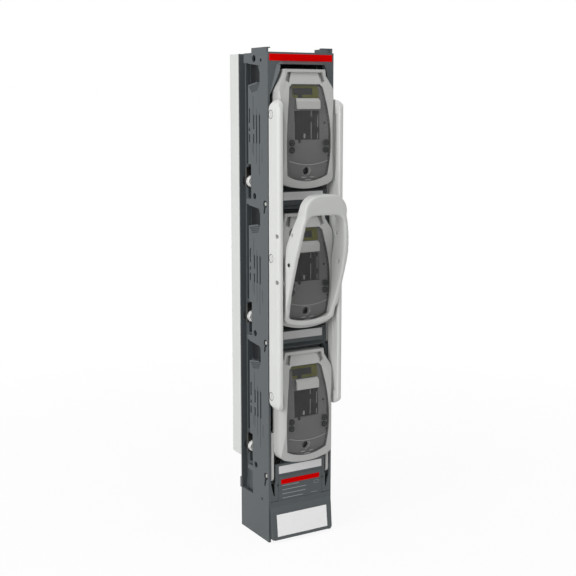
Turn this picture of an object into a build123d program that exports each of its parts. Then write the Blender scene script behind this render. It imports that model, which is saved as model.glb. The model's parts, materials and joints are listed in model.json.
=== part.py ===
from build123d import *
import os
from math import sqrt

# A three-pole fuse switch disconnector of the vertical strip type, closed, with no fuse links in it.
# Millimetres. +X is to the right seen from the front, the front looks along -Y, +Z is up.
# The origin lies on the rear mounting plane, midway between the four outer busbar bolts.

# Main sizes of the housing
POLES = 3
POLE_PITCH = 185.0
HOUSING_WIDTH = 99.5
HOUSING_DEPTH = 78.7
REAR_COVER_DEPTH = 24.3
HOUSING_TOP = 353.0
HOUSING_BOTTOM = -303.4
COVER_JOINT = -246.4
WALL = 3.2
GAP = 0.3

# Hinge of the middle fuse lid
HINGE_DEPTH = 7.8
HINGE_MIDDLE_Z = -26.4
KEYHOLE_RADIUS = 5.0
KEYHOLE_SINK = 2.0
KEYHOLE_SLOT = 1.9

# Fuse lid, heights counted from its hinge
LID_HALF_WIDTH = 41.5
LID_WALL = 2.4
LID_BOTTOM = 20.2
LID_CORNER = 26.0
SWEEP_RADIUS = 21.7
LID_SIDE_START = 38.0
LID_SIDE_END = 134.5
LID_NECK = 156.0
LID_TOP = 173.0
LID_NECK_HALF = 32.6
LID_TOP_HALF = 30.2
BULGE_RADIUS = 290.0
BULGE_HEIGHT = 84.0
BULGE_REACH = 20.8
SHOULDER_DEPTH = 8.5
SHOULDER_HALF = 31.5

# Window and fuse carrier behind it
WINDOW_BOTTOM = 29.7
WINDOW_CORNER_Z = 37.5
WINDOW_CORNER_HALF = 30.5
WINDOW_HALF = 33.3
WINDOW_UPPER_Z = 132.0
WINDOW_UPPER_HALF = 28.3
WINDOW_TOP = 154.0
WINDOW_TOP_HALF = 21.0
WINDOW_THICKNESS = 1.8
SIGHT_HALF = 19.1
SIGHT_BOTTOM = 83.4
SIGHT_TOP = 120.4
TEST_HOLE_Z = 43.1
TEST_HOLE_RADIUS = 5.4

MARK_X = 25.0
MARK_RADIUS = 4.6
MARK_HEIGHTS = (69.6, 79.6)
SEAM_SIDE = 62.0
SEAM_MIDDLE = 51.5
CLAW_HEIGHTS = (48.0, 138.0)

PLATE_HALF = 19.5
PLATE_BOTTOM = 136.8
PLATE_TOP = 152.6
MARKER_HALF = 17.0
MARKER_BOTTOM = 122.5
MARKER_TOP = 132.4
MARKER_SLOPE_TOP = 136.2

# Hinge arms and trunnions of a lid
ARM_OUTER = 45.5
ARM_WIDTH = 7.5
ARM_TOP = 62.0
TRUNNION_RADIUS = 3.5
RUNNING_GAP = 0.05

# Side rails that tie the three lids together
RAIL_INNER = 42.3
RAIL_FRONT = 27.0
RAIL_BACK = 2.5
RAIL_TOP = 293.4
RAIL_BOTTOM = -115.0
RAIL_PIN_DEPTH = -7.6
RAIL_PIN_HEIGHT = 115.9
RAIL_PIN_RADIUS = 3.0
RAIL_PIN_HEAD = 5.0
RAIL_HOLE_OFFSET = 30.0
RAIL_HOLE_RADIUS = 3.2
RAIL_END = 13.0
PIN_START = 36.0

# Stirrup handle on the middle lid, heights counted from its hinge
HANDLE_HALF = 41.0
HANDLE_TOP = 200.8
HANDLE_INNER_TOP = 174.0
HANDLE_REACH = 64.3
HANDLE_BACK = 46.0
HANDLE_KNEE = 102.0
HANDLE_KNEE_REACH = 47.4
HANDLE_FOOT = 24.0
HANDLE_FOOT_REACH = 19.5
HANDLE_LEG = 6.6
HANDLE_HOLES = ((-37.5, 110.0), (-38.0, 148.0))
HANDLE_HOLE_RADIUS = 2.4

# Front panels between the lids, heights counted from the hinge above
PANEL_HALF = 39.0
PANEL_TOP = 17.0
PAD_HALF = 31.0
PAD_REACH = 5.6
PAD_BOTTOM = 4.9
PAD_TOP = 16.2
ARM_SLOT_BOTTOM = -9.0
DECK_DROP = 12.0
DECK_FRONT = 6.0
TONGUE_HALF = 34.4
TONGUE_TOP = -211.6
COLLAR_REACH = 6.5
COLLAR_RIM = 4.0
COLLAR_START = 140.0

# Openings in the side walls: depth, then lower and upper height from the hinge
VENT_SLOTS = (
    (48.8, 104.3, 123.2),
    (49.0, 93.8, 98.3),
    (49.0, 79.3, 89.8),
    (37.5, 96.6, 114.9),
    (37.7, 78.4, 90.1),
    (29.8, 78.4, 114.9),
    (21.8, 78.1, 114.7),
)
VENT_HALF = 1.55
POCKET_REAR = ((54.0, 181.0), (39.6, 179.6), (26.5, 157.3), (54.0, 153.2))
POCKET_FRONT = ((40.0, 179.6), (21.2, 177.7), (20.9, 156.7), (27.0, 155.9))
POCKET_HALF_REAR = 36.75
POCKET_HALF_FRONT = 42.75
POCKET_BLOCK_HALF = 34.25
POCKET_BLOCK_DEPTH = 18.5
POCKET_BLOCK_LOW = 150.0
POCKET_BLOCK_HIGH = 183.6

# Recess behind each side panel: its depth range, and heights counted from the hinge
RECESS_HALF = 40.9
RECESS_DEEP_HALF = 34.0
RECESS_BACK = 76.9
RECESS_DEEP_BACK = 74.0
PANEL_END_UPPER = 52.4
PANEL_END_LOWER = 45.0
PANEL_END_CLIP = 58.0
RECESS_STEP = 50.0
RECESS_LOW = -3.0
CLIP_TOP = 4.0
BRIDGE_WINDOW = (55.0, 69.5)
BRIDGE_WINDOW_TOP = 49.0
RECESS_BOTTOM = -247.0
CABLE_BACK_TOP = -250.0
CABLE_SPLIT = -241.0

# Contacts
LINK_CENTRE = 97.0
JAW_SPACING = 124.0
BLADE_THICKNESS = 6.0
JAW_HEIGHT = 22.0
FINGER = 3.0
BRIDGE_HEIGHT = 26.4
BRIDGE_THICKNESS = 4.0
BRIDGE_DEPTH = BRIDGE_WINDOW[1] - BRIDGE_THICKNESS
BOLT_SPACING = 76.0
BOLT_RADIUS = 4.0
BOLT_SHANK_RADIUS = 3.4
BOLT_HEAD_RADIUS = 7.5
BOLT_HEAD_HEIGHT = 5.4
BOLT_REACH = 16.0
THREAD_SINK = 1.5
SLEEVE_RADIUS = 7.0
SLEEVE_MOUTH = 5.6
CABLE_BAR_WIDTH = 13.0
CABLE_BAR_THICKNESS = 4.0
CABLE_BAR_PITCH = 23.8
CABLE_BAR_DEPTH = 84.0
TERMINAL_HEIGHT = 30.0
TERMINAL_PITCH = 30.5
TERMINAL_WIDTH = 24.0
TERMINAL_PLANE = 60.0
CABLE_STEP_Z = -195.8

UPPER_JAW = LINK_CENTRE + JAW_SPACING / 2
LOWER_JAW = LINK_CENTRE - JAW_SPACING / 2
JAW_BASE = 57.0
JAW_TIP = 24.0
TERMINAL_BOLT_RADIUS = 5.0
ARC_PLATE_DEPTHS = (14.0, 20.0, 26.0, 32.0)

# Covers
REAR_COVER_BOTTOM = -200.4
REAR_COVER_WALL = 2.2
APRON_REACH = 8.3
LEDGE_TOP = 8.0
LEDGE_LOW = 12.6
LEDGE_REACH = 3.4
COVER_SCREW_X = 35.4
COVER_SCREW_Z = -224.1
COVER_SCREW_RADIUS = 1.9
FRONT = -(HOUSING_DEPTH + REAR_COVER_DEPTH)
HALF = HOUSING_WIDTH / 2
INNER = HALF - WALL


def hinge_z(pole):
    """Height of a lid's hinge; pole 1 is the top one."""
    return HINGE_MIDDLE_Z + (2 - pole) * POLE_PITCH


def slab(x0, x1, d0, d1, z0, z1):
    """A box between two corners; d counts backwards from the housing's front plane."""
    size = Box(x1 - x0, d1 - d0, z1 - z0, align=(Align.MIN, Align.MIN, Align.MIN))
    return Pos(x0, FRONT + d0, z0) * size


def pair(shape):
    """A shape and its mirror image on the other side."""
    return shape + mirror(shape, Plane.YZ)


def both(shape):
    """A list of a solid and its mirror image, kept apart."""
    return [shape, mirror(shape, Plane.YZ)]


def face_of(*lines):
    """A flat face bounded by lines and arcs that meet end to end."""
    edges = [edge for line in lines for edge in line.edges()]
    return make_face(Wire(edges))


def polygon(points):
    return make_face(Polyline(*points, close=True))


def from_front(face, d0, d1):
    """Extrude a face drawn in (x, z) from depth d0 back to depth d1."""
    return extrude(Plane.XZ.offset(-(FRONT + d1)) * face, amount=d1 - d0)


def from_side(face, x0, x1):
    """Extrude a face drawn in (depth, z) from x0 to x1."""
    return Pos(x0, FRONT, 0) * extrude(Plane.YZ * face, amount=x1 - x0)


def pin_x(radius, x0, x1, depth, z):
    """A round bar along X."""
    bar = Cylinder(radius, x1 - x0, align=(Align.CENTER, Align.CENTER, Align.MIN))
    return Pos(x0, FRONT + depth, z) * Rot(0, 90, 0) * bar


def pin_y(radius, d0, d1, x, z):
    """A round bar along Y, from depth d0 back to depth d1."""
    bar = Cylinder(radius, d1 - d0, align=(Align.CENTER, Align.CENTER, Align.MIN))
    return Pos(x, FRONT + d0, z) * Rot(-90, 0, 0) * bar


# Fuse lid


def lid_outline(inset=0.0):
    """The lid seen from the front: a curved foot, straight sides, a neck and a narrower head."""
    half = LID_HALF_WIDTH - inset
    foot = LID_BOTTOM + inset
    corner_x = LID_HALF_WIDTH - 8.0
    corner_z = LID_CORNER + inset
    mid_x = half - 2.6
    mid_z = LID_CORNER + inset + 4.6
    bottom = ThreePointArc((-corner_x, corner_z), (0, foot), (corner_x, corner_z))
    right = ThreePointArc((corner_x, corner_z), (mid_x, mid_z), (half, LID_SIDE_START))
    top = LID_TOP - inset
    rest = Polyline(
        (half, LID_SIDE_START),
        (half, LID_SIDE_END),
        (LID_NECK_HALF - inset, LID_NECK),
        (LID_TOP_HALF - inset, top),
        (-LID_TOP_HALF + inset, top),
        (-LID_NECK_HALF + inset, LID_NECK),
        (-half, LID_SIDE_END),
        (-half, LID_SIDE_START),
    )
    left = ThreePointArc((-half, LID_SIDE_START), (-mid_x, mid_z), (-corner_x, corner_z))
    return face_of(bottom, right, rest, left)


def bulge_depth(z, inset=0.0):
    """Depth of the lid's curved front at a height above its hinge."""
    radius = BULGE_RADIUS - inset
    return BULGE_RADIUS - BULGE_REACH - sqrt(radius**2 - (z - BULGE_HEIGHT) ** 2)


def bulge(inset, back):
    """Everything behind the lid's curved front, inset from it."""
    low = LID_BOTTOM - 10.0
    high = LID_TOP + 10.0
    arc = ThreePointArc(
        (bulge_depth(low, inset), low),
        (bulge_depth(BULGE_HEIGHT, inset), BULGE_HEIGHT),
        (bulge_depth(high, inset), high),
    )
    sides = Polyline(
        (bulge_depth(high, inset), high),
        (back, high),
        (back, low),
        (bulge_depth(low, inset), low),
    )
    return from_side(face_of(arc, sides), -HALF, HALF)


def shoulders(inset, back):
    """The lid's plan: flat sides that round over into the front."""
    half = LID_HALF_WIDTH - inset
    flat = SHOULDER_HALF - inset * 0.4
    reach = -(BULGE_REACH - inset)
    mid = (half - 2.7, -(SHOULDER_DEPTH + BULGE_REACH - inset) / 2 - 2.6)
    right = ThreePointArc((half, -SHOULDER_DEPTH), mid, (flat, reach))
    left = ThreePointArc((-flat, reach), (-mid[0], mid[1]), (-half, -SHOULDER_DEPTH))
    front = Line((flat, reach), (-flat, reach))
    sides = Polyline((-half, -SHOULDER_DEPTH), (-half, back), (half, back), (half, -SHOULDER_DEPTH))
    plan = face_of(right, front, left, sides)
    return Pos(0, FRONT, 0) * extrude(plan, amount=LID_TOP + 20.0)


def lid_form(inset, back):
    """The lid's solid outer form, or that form drawn in by a wall, from its front back to a depth."""
    deep = from_front(lid_outline(inset), -40.0, back)
    return deep & bulge(inset, back) & shoulders(inset, back)


def window_outline(grow=0.0):
    """The smoked window seen from the front."""
    corner = (WINDOW_CORNER_HALF + grow, WINDOW_CORNER_Z - grow * 0.5)
    middle = (WINDOW_HALF + grow, (WINDOW_CORNER_Z + WINDOW_UPPER_Z) / 2)
    upper = (WINDOW_UPPER_HALF + grow, WINDOW_UPPER_Z)
    shoulder = (WINDOW_TOP_HALF + 4.4 + grow, WINDOW_TOP - 4.0)
    top = (WINDOW_TOP_HALF + grow * 0.5, WINDOW_TOP + grow)

    def left(point):
        return (-point[0], point[1])

    foot = ThreePointArc(left(corner), (0, WINDOW_BOTTOM - grow), corner)
    side = ThreePointArc(corner, middle, upper)
    head = Polyline(upper, shoulder, top, left(top), left(shoulder), left(upper))
    other = ThreePointArc(left(upper), left(middle), left(corner))
    return face_of(foot, side, head, other)


def lid_frame(z):
    """Moulded lid: thin shell, sight opening, head with grip rim, hinge arms and trunnions."""
    skirt = 4.0
    solid = lid_form(0.0, skirt)
    shell = solid - lid_form(LID_WALL, skirt + 10.0)
    shell -= pin_x(SWEEP_RADIUS, -HALF, HALF, HINGE_DEPTH, 0)
    shell -= from_front(window_outline(), -30.0, -4.0)

    # grip rim along the top edge and the pillars below it
    rim_reach = 10.4
    rim_outer = [
        (-LID_TOP_HALF, LID_TOP),
        (-LID_NECK_HALF, LID_NECK),
        (-LID_NECK_HALF + 5.0, LID_NECK),
        (-LID_TOP_HALF + 4.2, LID_TOP - 4.0),
        (LID_TOP_HALF - 4.2, LID_TOP - 4.0),
        (LID_NECK_HALF - 5.0, LID_NECK),
        (LID_NECK_HALF, LID_NECK),
        (LID_TOP_HALF, LID_TOP),
    ]
    rim = from_front(polygon(rim_outer), -rim_reach, -5.0)

    # finger recesses between the slanted middle panel and the pillars
    grip_top = LID_TOP - 4.2
    recess = polygon([(20.2, grip_top), (26.6, grip_top), (LID_NECK_HALF - 3.0, LID_NECK + 2.0), (24.0, LID_NECK - 0.5)])
    recess = from_front(recess, -30.0, 0.0)
    head = (shell + rim) - pair(recess)

    # arms run down beside the panel below and end round the hinge
    shank = slab(LID_HALF_WIDTH, ARM_OUTER, HINGE_DEPTH - ARM_WIDTH, HINGE_DEPTH + ARM_WIDTH, 0, ARM_TOP)
    shank += pin_x(ARM_WIDTH, LID_HALF_WIDTH, ARM_OUTER, HINGE_DEPTH, 0)
    wall_inside = LID_HALF_WIDTH - LID_WALL
    web = slab(wall_inside, ARM_OUTER, HINGE_DEPTH - ARM_WIDTH, skirt + 9.0, LID_SIDE_START, ARM_TOP)
    trunnion = pin_x(TRUNNION_RADIUS, ARM_OUTER, HALF - KEYHOLE_SINK - 0.3, HINGE_DEPTH, 0)
    boss = pin_x(RAIL_PIN_HEAD + 1.0, PIN_START, LID_HALF_WIDTH - 0.5, RAIL_PIN_DEPTH, RAIL_PIN_HEIGHT)
    lid = head + pair(shank + web + trunnion + boss)
    lid -= pair(pin_x(RAIL_PIN_RADIUS - RUNNING_GAP, PIN_START - 1, HALF, RAIL_PIN_DEPTH, RAIL_PIN_HEIGHT))
    return Pos(0, 0, z) * lid


def lid_window(z):
    """Smoked window: a flush pane with a flange that bears on the inside of the lid's wall."""
    proud = 0.4
    sheet = lid_form(proud, 0.0) - lid_form(proud + WINDOW_THICKNESS, 10.0)
    pane = sheet & from_front(window_outline(-0.2), -30.0, -2.0)
    behind = lid_form(LID_WALL, 0.0) - lid_form(LID_WALL + WINDOW_THICKNESS, 10.0)
    flange = behind & from_front(window_outline(2.0), -30.0, -2.0)
    flange -= from_front(window_outline(-1.2), -30.0, -2.0)
    neck = lid_form(proud + 0.6, 0.0) - lid_form(LID_WALL + 0.6, 10.0)
    neck &= from_front(window_outline(-0.2), -30.0, -2.0) - from_front(window_outline(-1.2), -30.0, -2.0)
    window = pane + neck + flange
    window -= pin_y(TEST_HOLE_RADIUS, -30.0, -2.0, 0, TEST_HOLE_Z)
    for height in MARK_HEIGHTS:
        for side in (-1, 1):
            window -= pin_y(MARK_RADIUS, -30.0, -BULGE_REACH + 1.4, side * MARK_X, height)
    seam_low = ThreePointArc((-40, SEAM_SIDE), (0, SEAM_MIDDLE), (40, SEAM_SIDE))
    seam_high = ThreePointArc((40, SEAM_SIDE + 0.7), (0, SEAM_MIDDLE + 0.7), (-40, SEAM_SIDE + 0.7))
    ends = [Line((40, SEAM_SIDE), (40, SEAM_SIDE + 0.7)), Line((-40, SEAM_SIDE + 0.7), (-40, SEAM_SIDE))]
    seam = from_front(face_of(seam_low, ends[0], seam_high, ends[1]), -30.0, -2.0)
    window -= seam & (lid_form(0.0, 0.0) - lid_form(proud + 0.5, 10.0))
    return Pos(0, 0, z) * window


def fuse_carrier(z):
    """Plate behind the window with a sight opening and four claws for a fuse link's lugs."""
    front = LID_WALL + WINDOW_THICKNESS
    sheet = lid_form(front, 0.0) - lid_form(front + 2.2, 10.0)
    plate = sheet & from_front(window_outline(3.0), -30.0, -1.0)
    sight = slab(-SIGHT_HALF, SIGHT_HALF, -30.0, 5.0, SIGHT_BOTTOM, SIGHT_TOP)
    notch = slab(-SIGHT_HALF + 5.0, -SIGHT_HALF + 10.0, -30.0, 5.0, SIGHT_BOTTOM - 4.0, SIGHT_BOTTOM + 1.0)
    plate -= sight + notch
    cup = pin_y(TEST_HOLE_RADIUS + 1.4, bulge_depth(TEST_HOLE_Z, front), -8.0, 0, TEST_HOLE_Z)
    cup -= pin_y(TEST_HOLE_RADIUS, -30.0, -9.6, 0, TEST_HOLE_Z)
    plate -= pin_y(TEST_HOLE_RADIUS, -30.0, -9.6, 0, TEST_HOLE_Z)
    plate += cup
    for height in CLAW_HEIGHTS:
        rib = slab(6.0, 12.0, -20.0, 6.0, height - 8.0, height + 8.0)
        rib -= slab(5.0, 9.0, -1.0, 2.6, height - 9.0, height + 9.0)
        plate += pair(rib & lid_form(front + 1.0, 10.0))
    return Pos(0, 0, z) * plate


def colour_plate(z):
    """Coloured plate on the carrier behind the window's upper end."""
    front = LID_WALL + WINDOW_THICKNESS - 0.5
    sheet = lid_form(front, 0.0) - lid_form(front + 0.5, 10.0)
    outline = slab(-PLATE_HALF, PLATE_HALF, -30.0, 0.0, PLATE_BOTTOM, PLATE_TOP)
    return Pos(0, 0, z) * (sheet & outline)


def marker_block(z):
    """Pale label block that stands proud of the window, with a sloping top."""
    back = bulge_depth(MARKER_BOTTOM, 0.4)
    profile = polygon(
        [
            (back, MARKER_BOTTOM),
            (-BULGE_REACH + 0.4, MARKER_BOTTOM),
            (-BULGE_REACH + 0.4, MARKER_TOP),
            (bulge_depth(MARKER_SLOPE_TOP, 0.4), MARKER_SLOPE_TOP),
        ]
    )
    block = from_side(profile, -MARKER_HALF, MARKER_HALF)
    return Pos(0, 0, z) * (block - lid_form(0.4, 0.0))


def rail_pins(z):
    """Two headed pins that carry the rails on a lid."""
    depth = RAIL_PIN_DEPTH
    height = RAIL_PIN_HEIGHT
    shaft = pin_x(RAIL_PIN_RADIUS - RUNNING_GAP, PIN_START, HALF - 0.6, depth, height)
    head = pin_x(RAIL_PIN_HEAD, HALF - 1.6, HALF - 0.2, depth, height)
    slot = slab(HALF - 0.9, HALF, depth - 0.6, depth + 0.6, height - 3, height + 3)
    pin = Pos(0, 0, z) * (shaft + head - slot)
    return both(pin)


def rail_outline():
    """The right-hand rail seen from the front, with its outer corners rounded off."""
    width = HALF - RAIL_INNER
    radius = (RAIL_END**2 + width**2) / (2 * width)
    along = radius - width / 2
    reach = radius * along / sqrt(along**2 + (RAIL_END / 2) ** 2)
    rise = reach * RAIL_END / 2 / along
    centre = HALF - radius
    high = RAIL_TOP - RAIL_END
    low = RAIL_BOTTOM + RAIL_END
    top = ThreePointArc((HALF, high), (centre + reach, high + rise), (RAIL_INNER, RAIL_TOP))
    foot = ThreePointArc((RAIL_INNER, RAIL_BOTTOM), (centre + reach, low - rise), (HALF, low))
    return face_of(top, Line((RAIL_INNER, RAIL_TOP), (RAIL_INNER, RAIL_BOTTOM)), foot, Line((HALF, low), (HALF, high)))


def side_rail():
    """Right-hand rail: rounded bar with a shallow groove inside, bored for the three lids' pins."""
    half_depth = (RAIL_FRONT - RAIL_BACK) / 2
    front = -RAIL_FRONT
    plan = Polyline((RAIL_INNER, -RAIL_BACK), (HALF, -RAIL_BACK), (HALF, front + 4.0))
    nose = ThreePointArc((HALF, front + 4.0), (HALF - 1.2, front + 1.2), (HALF - 4.0, front))
    inside = [(RAIL_INNER + 1.0, front), (RAIL_INNER, front + 1.0), (RAIL_INNER, -RAIL_BACK)]
    rest = Polyline((HALF - 4.0, front), *inside)
    section = face_of(plan, nose, rest)
    bar = Pos(0, FRONT, RAIL_BOTTOM) * extrude(section, amount=RAIL_TOP - RAIL_BOTTOM)
    middle = -(RAIL_FRONT + RAIL_BACK) / 2
    low = RAIL_BOTTOM + half_depth
    high = RAIL_TOP - half_depth
    top = ThreePointArc((-RAIL_BACK, high), (middle, RAIL_TOP), (-RAIL_FRONT, high))
    foot = ThreePointArc((-RAIL_FRONT, low), (middle, RAIL_BOTTOM), (-RAIL_BACK, low))
    sides = [Line((-RAIL_FRONT, high), (-RAIL_FRONT, low)), Line((-RAIL_BACK, low), (-RAIL_BACK, high))]
    bar &= from_side(face_of(top, sides[0], foot, sides[1]), RAIL_INNER - 1, HALF + 1)
    bar &= from_front(rail_outline(), -RAIL_FRONT - 1, 0.0)
    bar -= slab(RAIL_INNER - 1, RAIL_INNER + 1.2, -RAIL_FRONT + 5, -RAIL_BACK - 10.5, low + 6, high - 6)
    for pole in range(1, POLES + 1):
        height = hinge_z(pole) + RAIL_PIN_HEIGHT
        bar -= pin_x(RAIL_PIN_RADIUS, RAIL_INNER - 1, HALF + 1, RAIL_PIN_DEPTH, height)
        bar -= pin_x(RAIL_PIN_HEAD + 0.15, HALF - 1.7, HALF + 1, RAIL_PIN_DEPTH, height)
    middle_pin = hinge_z(2) + RAIL_PIN_HEIGHT
    for offset in (-RAIL_HOLE_OFFSET, RAIL_HOLE_OFFSET):
        bar -= pin_x(RAIL_HOLE_RADIUS, RAIL_INNER - 1, HALF + 1, -RAIL_FRONT + 4.6, middle_pin + offset)
    dash_back = RAIL_PIN_DEPTH - 6.4
    dash = slab(HALF - 1, HALF + 0.25, dash_back - 6.6, dash_back, middle_pin - 2.2, middle_pin + 2.2)
    return bar + dash


def handle_ring():
    """The stirrup seen from the front: an outer loop and the hand opening in it."""
    bend = HANDLE_KNEE + 8.0
    foot = ThreePointArc((-33.0, HANDLE_FOOT + 5.6), (0, HANDLE_FOOT), (33.0, HANDLE_FOOT + 5.6))
    leg_start = (HANDLE_HALF, HANDLE_FOOT + 20.0)
    corner = ThreePointArc((33.0, HANDLE_FOOT + 5.6), (38.8, HANDLE_FOOT + 11.0), leg_start)
    leg = Line(leg_start, (HANDLE_HALF, bend))
    waist = ThreePointArc((HANDLE_HALF, bend), (38.0, 144.0), (31.4, HANDLE_INNER_TOP))
    crown = ThreePointArc((31.4, HANDLE_INNER_TOP), (26.0, HANDLE_TOP - 7.6), (14.0, HANDLE_TOP - 0.8))
    top = ThreePointArc((14.0, HANDLE_TOP - 0.8), (0, HANDLE_TOP), (-14.0, HANDLE_TOP - 0.8))
    right = [corner, leg, waist, crown]
    outer = face_of(foot, *right, top, *[mirror(edge, Plane.YZ) for edge in right])

    inner_leg = HANDLE_HALF - HANDLE_LEG
    sill = ThreePointArc((-28.5, HANDLE_FOOT + 12.0), (0, HANDLE_FOOT + 7.4), (28.5, HANDLE_FOOT + 12.0))
    leg_start = (31.4, HANDLE_FOOT + 18.0)
    corner = ThreePointArc((28.5, HANDLE_FOOT + 12.0), (30.9, HANDLE_FOOT + 14.2), leg_start)
    leg = ThreePointArc(leg_start, (inner_leg + 0.3, 92.0), (28.6, 162.0))
    crown = ThreePointArc((28.6, 162.0), (24.6, 170.6), (16.0, HANDLE_INNER_TOP))
    lintel = Line((16.0, HANDLE_INNER_TOP), (-16.0, HANDLE_INNER_TOP))
    right = [corner, leg, crown]
    inner = face_of(sill, *right, lintel, *[mirror(edge, Plane.YZ) for edge in right])
    return from_front(outer, -80.0, 0.0) - from_front(inner, -80.0, 0.0)


def handle_profile():
    """The stirrup seen from the side: it leans out from the lid's foot and stands upright at the grip."""
    foot = (-HANDLE_FOOT_REACH, HANDLE_FOOT - 1.0)
    knee = (-HANDLE_KNEE_REACH, HANDLE_KNEE)
    top = (-HANDLE_REACH, HANDLE_TOP + 1.0)
    lower = Line(foot, knee)
    upper = TangentArc(knee, top, tangent=lower % 1)
    back = Polyline(
        top,
        (-HANDLE_BACK, HANDLE_TOP + 1.0),
        (-HANDLE_BACK, HANDLE_TOP - 19.0),
        (-12.0, HANDLE_KNEE - 11.0),
        (-2.0, HANDLE_KNEE - 30.0),
        (-2.0, HANDLE_FOOT - 1.0),
        foot,
    )
    return from_side(face_of(lower, upper, back), -HALF, HALF)


def handle():
    """Stirrup handle that seats on the middle lid's shoulders and foot."""
    z = hinge_z(2)
    body = handle_ring() & handle_profile()
    body -= lid_form(0.0, 4.0)
    body -= pair(slab(HANDLE_HALF - 2.5, HALF, -RAIL_FRONT - 1.5, 5.0, 0.0, 150.0))
    for depth, height in HANDLE_HOLES:
        body -= pair(pin_x(HANDLE_HOLE_RADIUS, HANDLE_HALF - 14.0, HALF, depth, height))
    return Pos(0, 0, z) * body


# Housing


def lid_opening(pole):
    """Opening in the front wall for one lid, with slots for its arms beside the panel below."""
    head = LID_TOP + 6.0
    half = [
        (33.4, head),
        (37.8, 160.0),
        (INNER, 140.0),
        (INNER, ARM_SLOT_BOTTOM),
        (PANEL_HALF, ARM_SLOT_BOTTOM),
        (PANEL_HALF, PANEL_TOP),
    ]
    points = half + [(-x, z) for x, z in reversed(half)]
    return Pos(0, 0, hinge_z(pole)) * from_front(polygon(points), -10.0, WALL + 0.01)


def side_cuts(pole):
    """What is cut through or into the right side panel beside one pole."""
    z = hinge_z(pole)
    cuts = []
    for depth, low, high in VENT_SLOTS:
        cuts.append(slab(INNER - 1, HALF + 1, depth - VENT_HALF, depth + VENT_HALF, z + low, z + high))
    cuts.append(slab(POCKET_HALF_REAR, HALF, *BRIDGE_WINDOW, z + CLIP_TOP, z + BRIDGE_WINDOW_TOP))
    cuts.append(pin_x(4.25, INNER - 1, HALF + 1, 36.0, z + 8.7))
    cuts.append(pin_x(TRUNNION_RADIUS + RUNNING_GAP, INNER - 1, HALF + 1, HINGE_DEPTH, z))
    cuts.append(pin_x(KEYHOLE_RADIUS, HALF - KEYHOLE_SINK, HALF + 1, HINGE_DEPTH, z))
    throat = polygon([(6.4, -2.5), (10.2, -2.5), (12.6, -13.0), (8.8, -13.0)])
    cuts.append(Pos(0, 0, z) * from_side(throat, INNER - 1, HALF + 1))
    cuts.append(pin_x(KEYHOLE_SLOT, INNER - 1, HALF + 1, 10.7, z - 13.0))
    cuts.append(side_pocket(pole))
    return cuts


def side_pocket(pole):
    """Stepped pocket in the right side panel, open to the recess behind the panel."""
    pocket = from_side(polygon(POCKET_REAR), POCKET_HALF_REAR, HALF + 1)
    pocket += from_side(polygon(POCKET_FRONT), POCKET_HALF_FRONT, HALF + 1)
    return Pos(0, 0, hinge_z(pole)) * pocket


def side_recess(pole):
    """Recess behind the right side panel beside one pole; a thin flange closes it at the back."""
    z = hinge_z(pole)
    out = HALF + 1
    step = z + RECESS_STEP
    top = z + POLE_PITCH + RECESS_LOW
    recess = slab(RECESS_HALF, out, PANEL_END_CLIP, RECESS_BACK, z + RECESS_LOW, z + CLIP_TOP)
    recess += slab(RECESS_HALF, out, PANEL_END_LOWER, RECESS_BACK, z + CLIP_TOP, step)
    recess += slab(RECESS_HALF, out, PANEL_END_UPPER, RECESS_BACK, step, top)
    recess += slab(RECESS_DEEP_HALF, RECESS_HALF + 1, PANEL_END_UPPER, RECESS_DEEP_BACK, step, top)
    return recess


def lid_collar(pole):
    """Raised, bevelled rim round the head of a lid's opening."""
    head = LID_TOP + 6.0 + COLLAR_RIM
    half = [(31.0, head), (36.6, head - 4.6), (41.4, 160.0), (INNER, COLLAR_START)]
    face = polygon(half + [(-x, z) for x, z in reversed(half)])
    collar = extrude(Plane.XZ.offset(-FRONT) * face, amount=COLLAR_REACH, taper=28)
    profile = [(0.0, COLLAR_START + 1.0), (-COLLAR_REACH, head - 10.0), (-COLLAR_REACH, head), (0.0, head)]
    return Pos(0, 0, hinge_z(pole)) * (collar & from_side(polygon(profile), -HALF, HALF))


def chamber(pole, top):
    """The space inside one pole: wide in front for the lid, narrower behind the side recesses."""
    z = hinge_z(pole)
    floor = z - DECK_DROP + WALL
    step = z + RECESS_STEP
    narrow = RECESS_DEEP_HALF - WALL
    wide = RECESS_HALF - WALL
    space = slab(-INNER, INNER, WALL, PANEL_END_LOWER - WALL, floor, step)
    space += slab(-INNER, INNER, WALL, PANEL_END_UPPER - WALL, step, top)
    space += slab(-narrow, narrow, PANEL_END_LOWER - WALL - 1, BRIDGE_WINDOW[1], floor, step)
    space += slab(-wide, wide, PANEL_END_LOWER - WALL - 1, BRIDGE_WINDOW[1], z + 0.2, step - WALL)
    space += slab(-narrow, narrow, PANEL_END_LOWER - WALL - 1, HOUSING_DEPTH - WALL, step, top)
    return space


def pocket_block(pole, low, high):
    """Solid behind the right side pocket of a pole, cut off at two heights."""
    z = hinge_z(pole)
    low = max(low, z + POCKET_BLOCK_LOW)
    high = min(high, z + POCKET_BLOCK_HIGH)
    return slab(POCKET_BLOCK_HALF, INNER + 1, POCKET_BLOCK_DEPTH, PANEL_END_UPPER, low, high)


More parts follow.
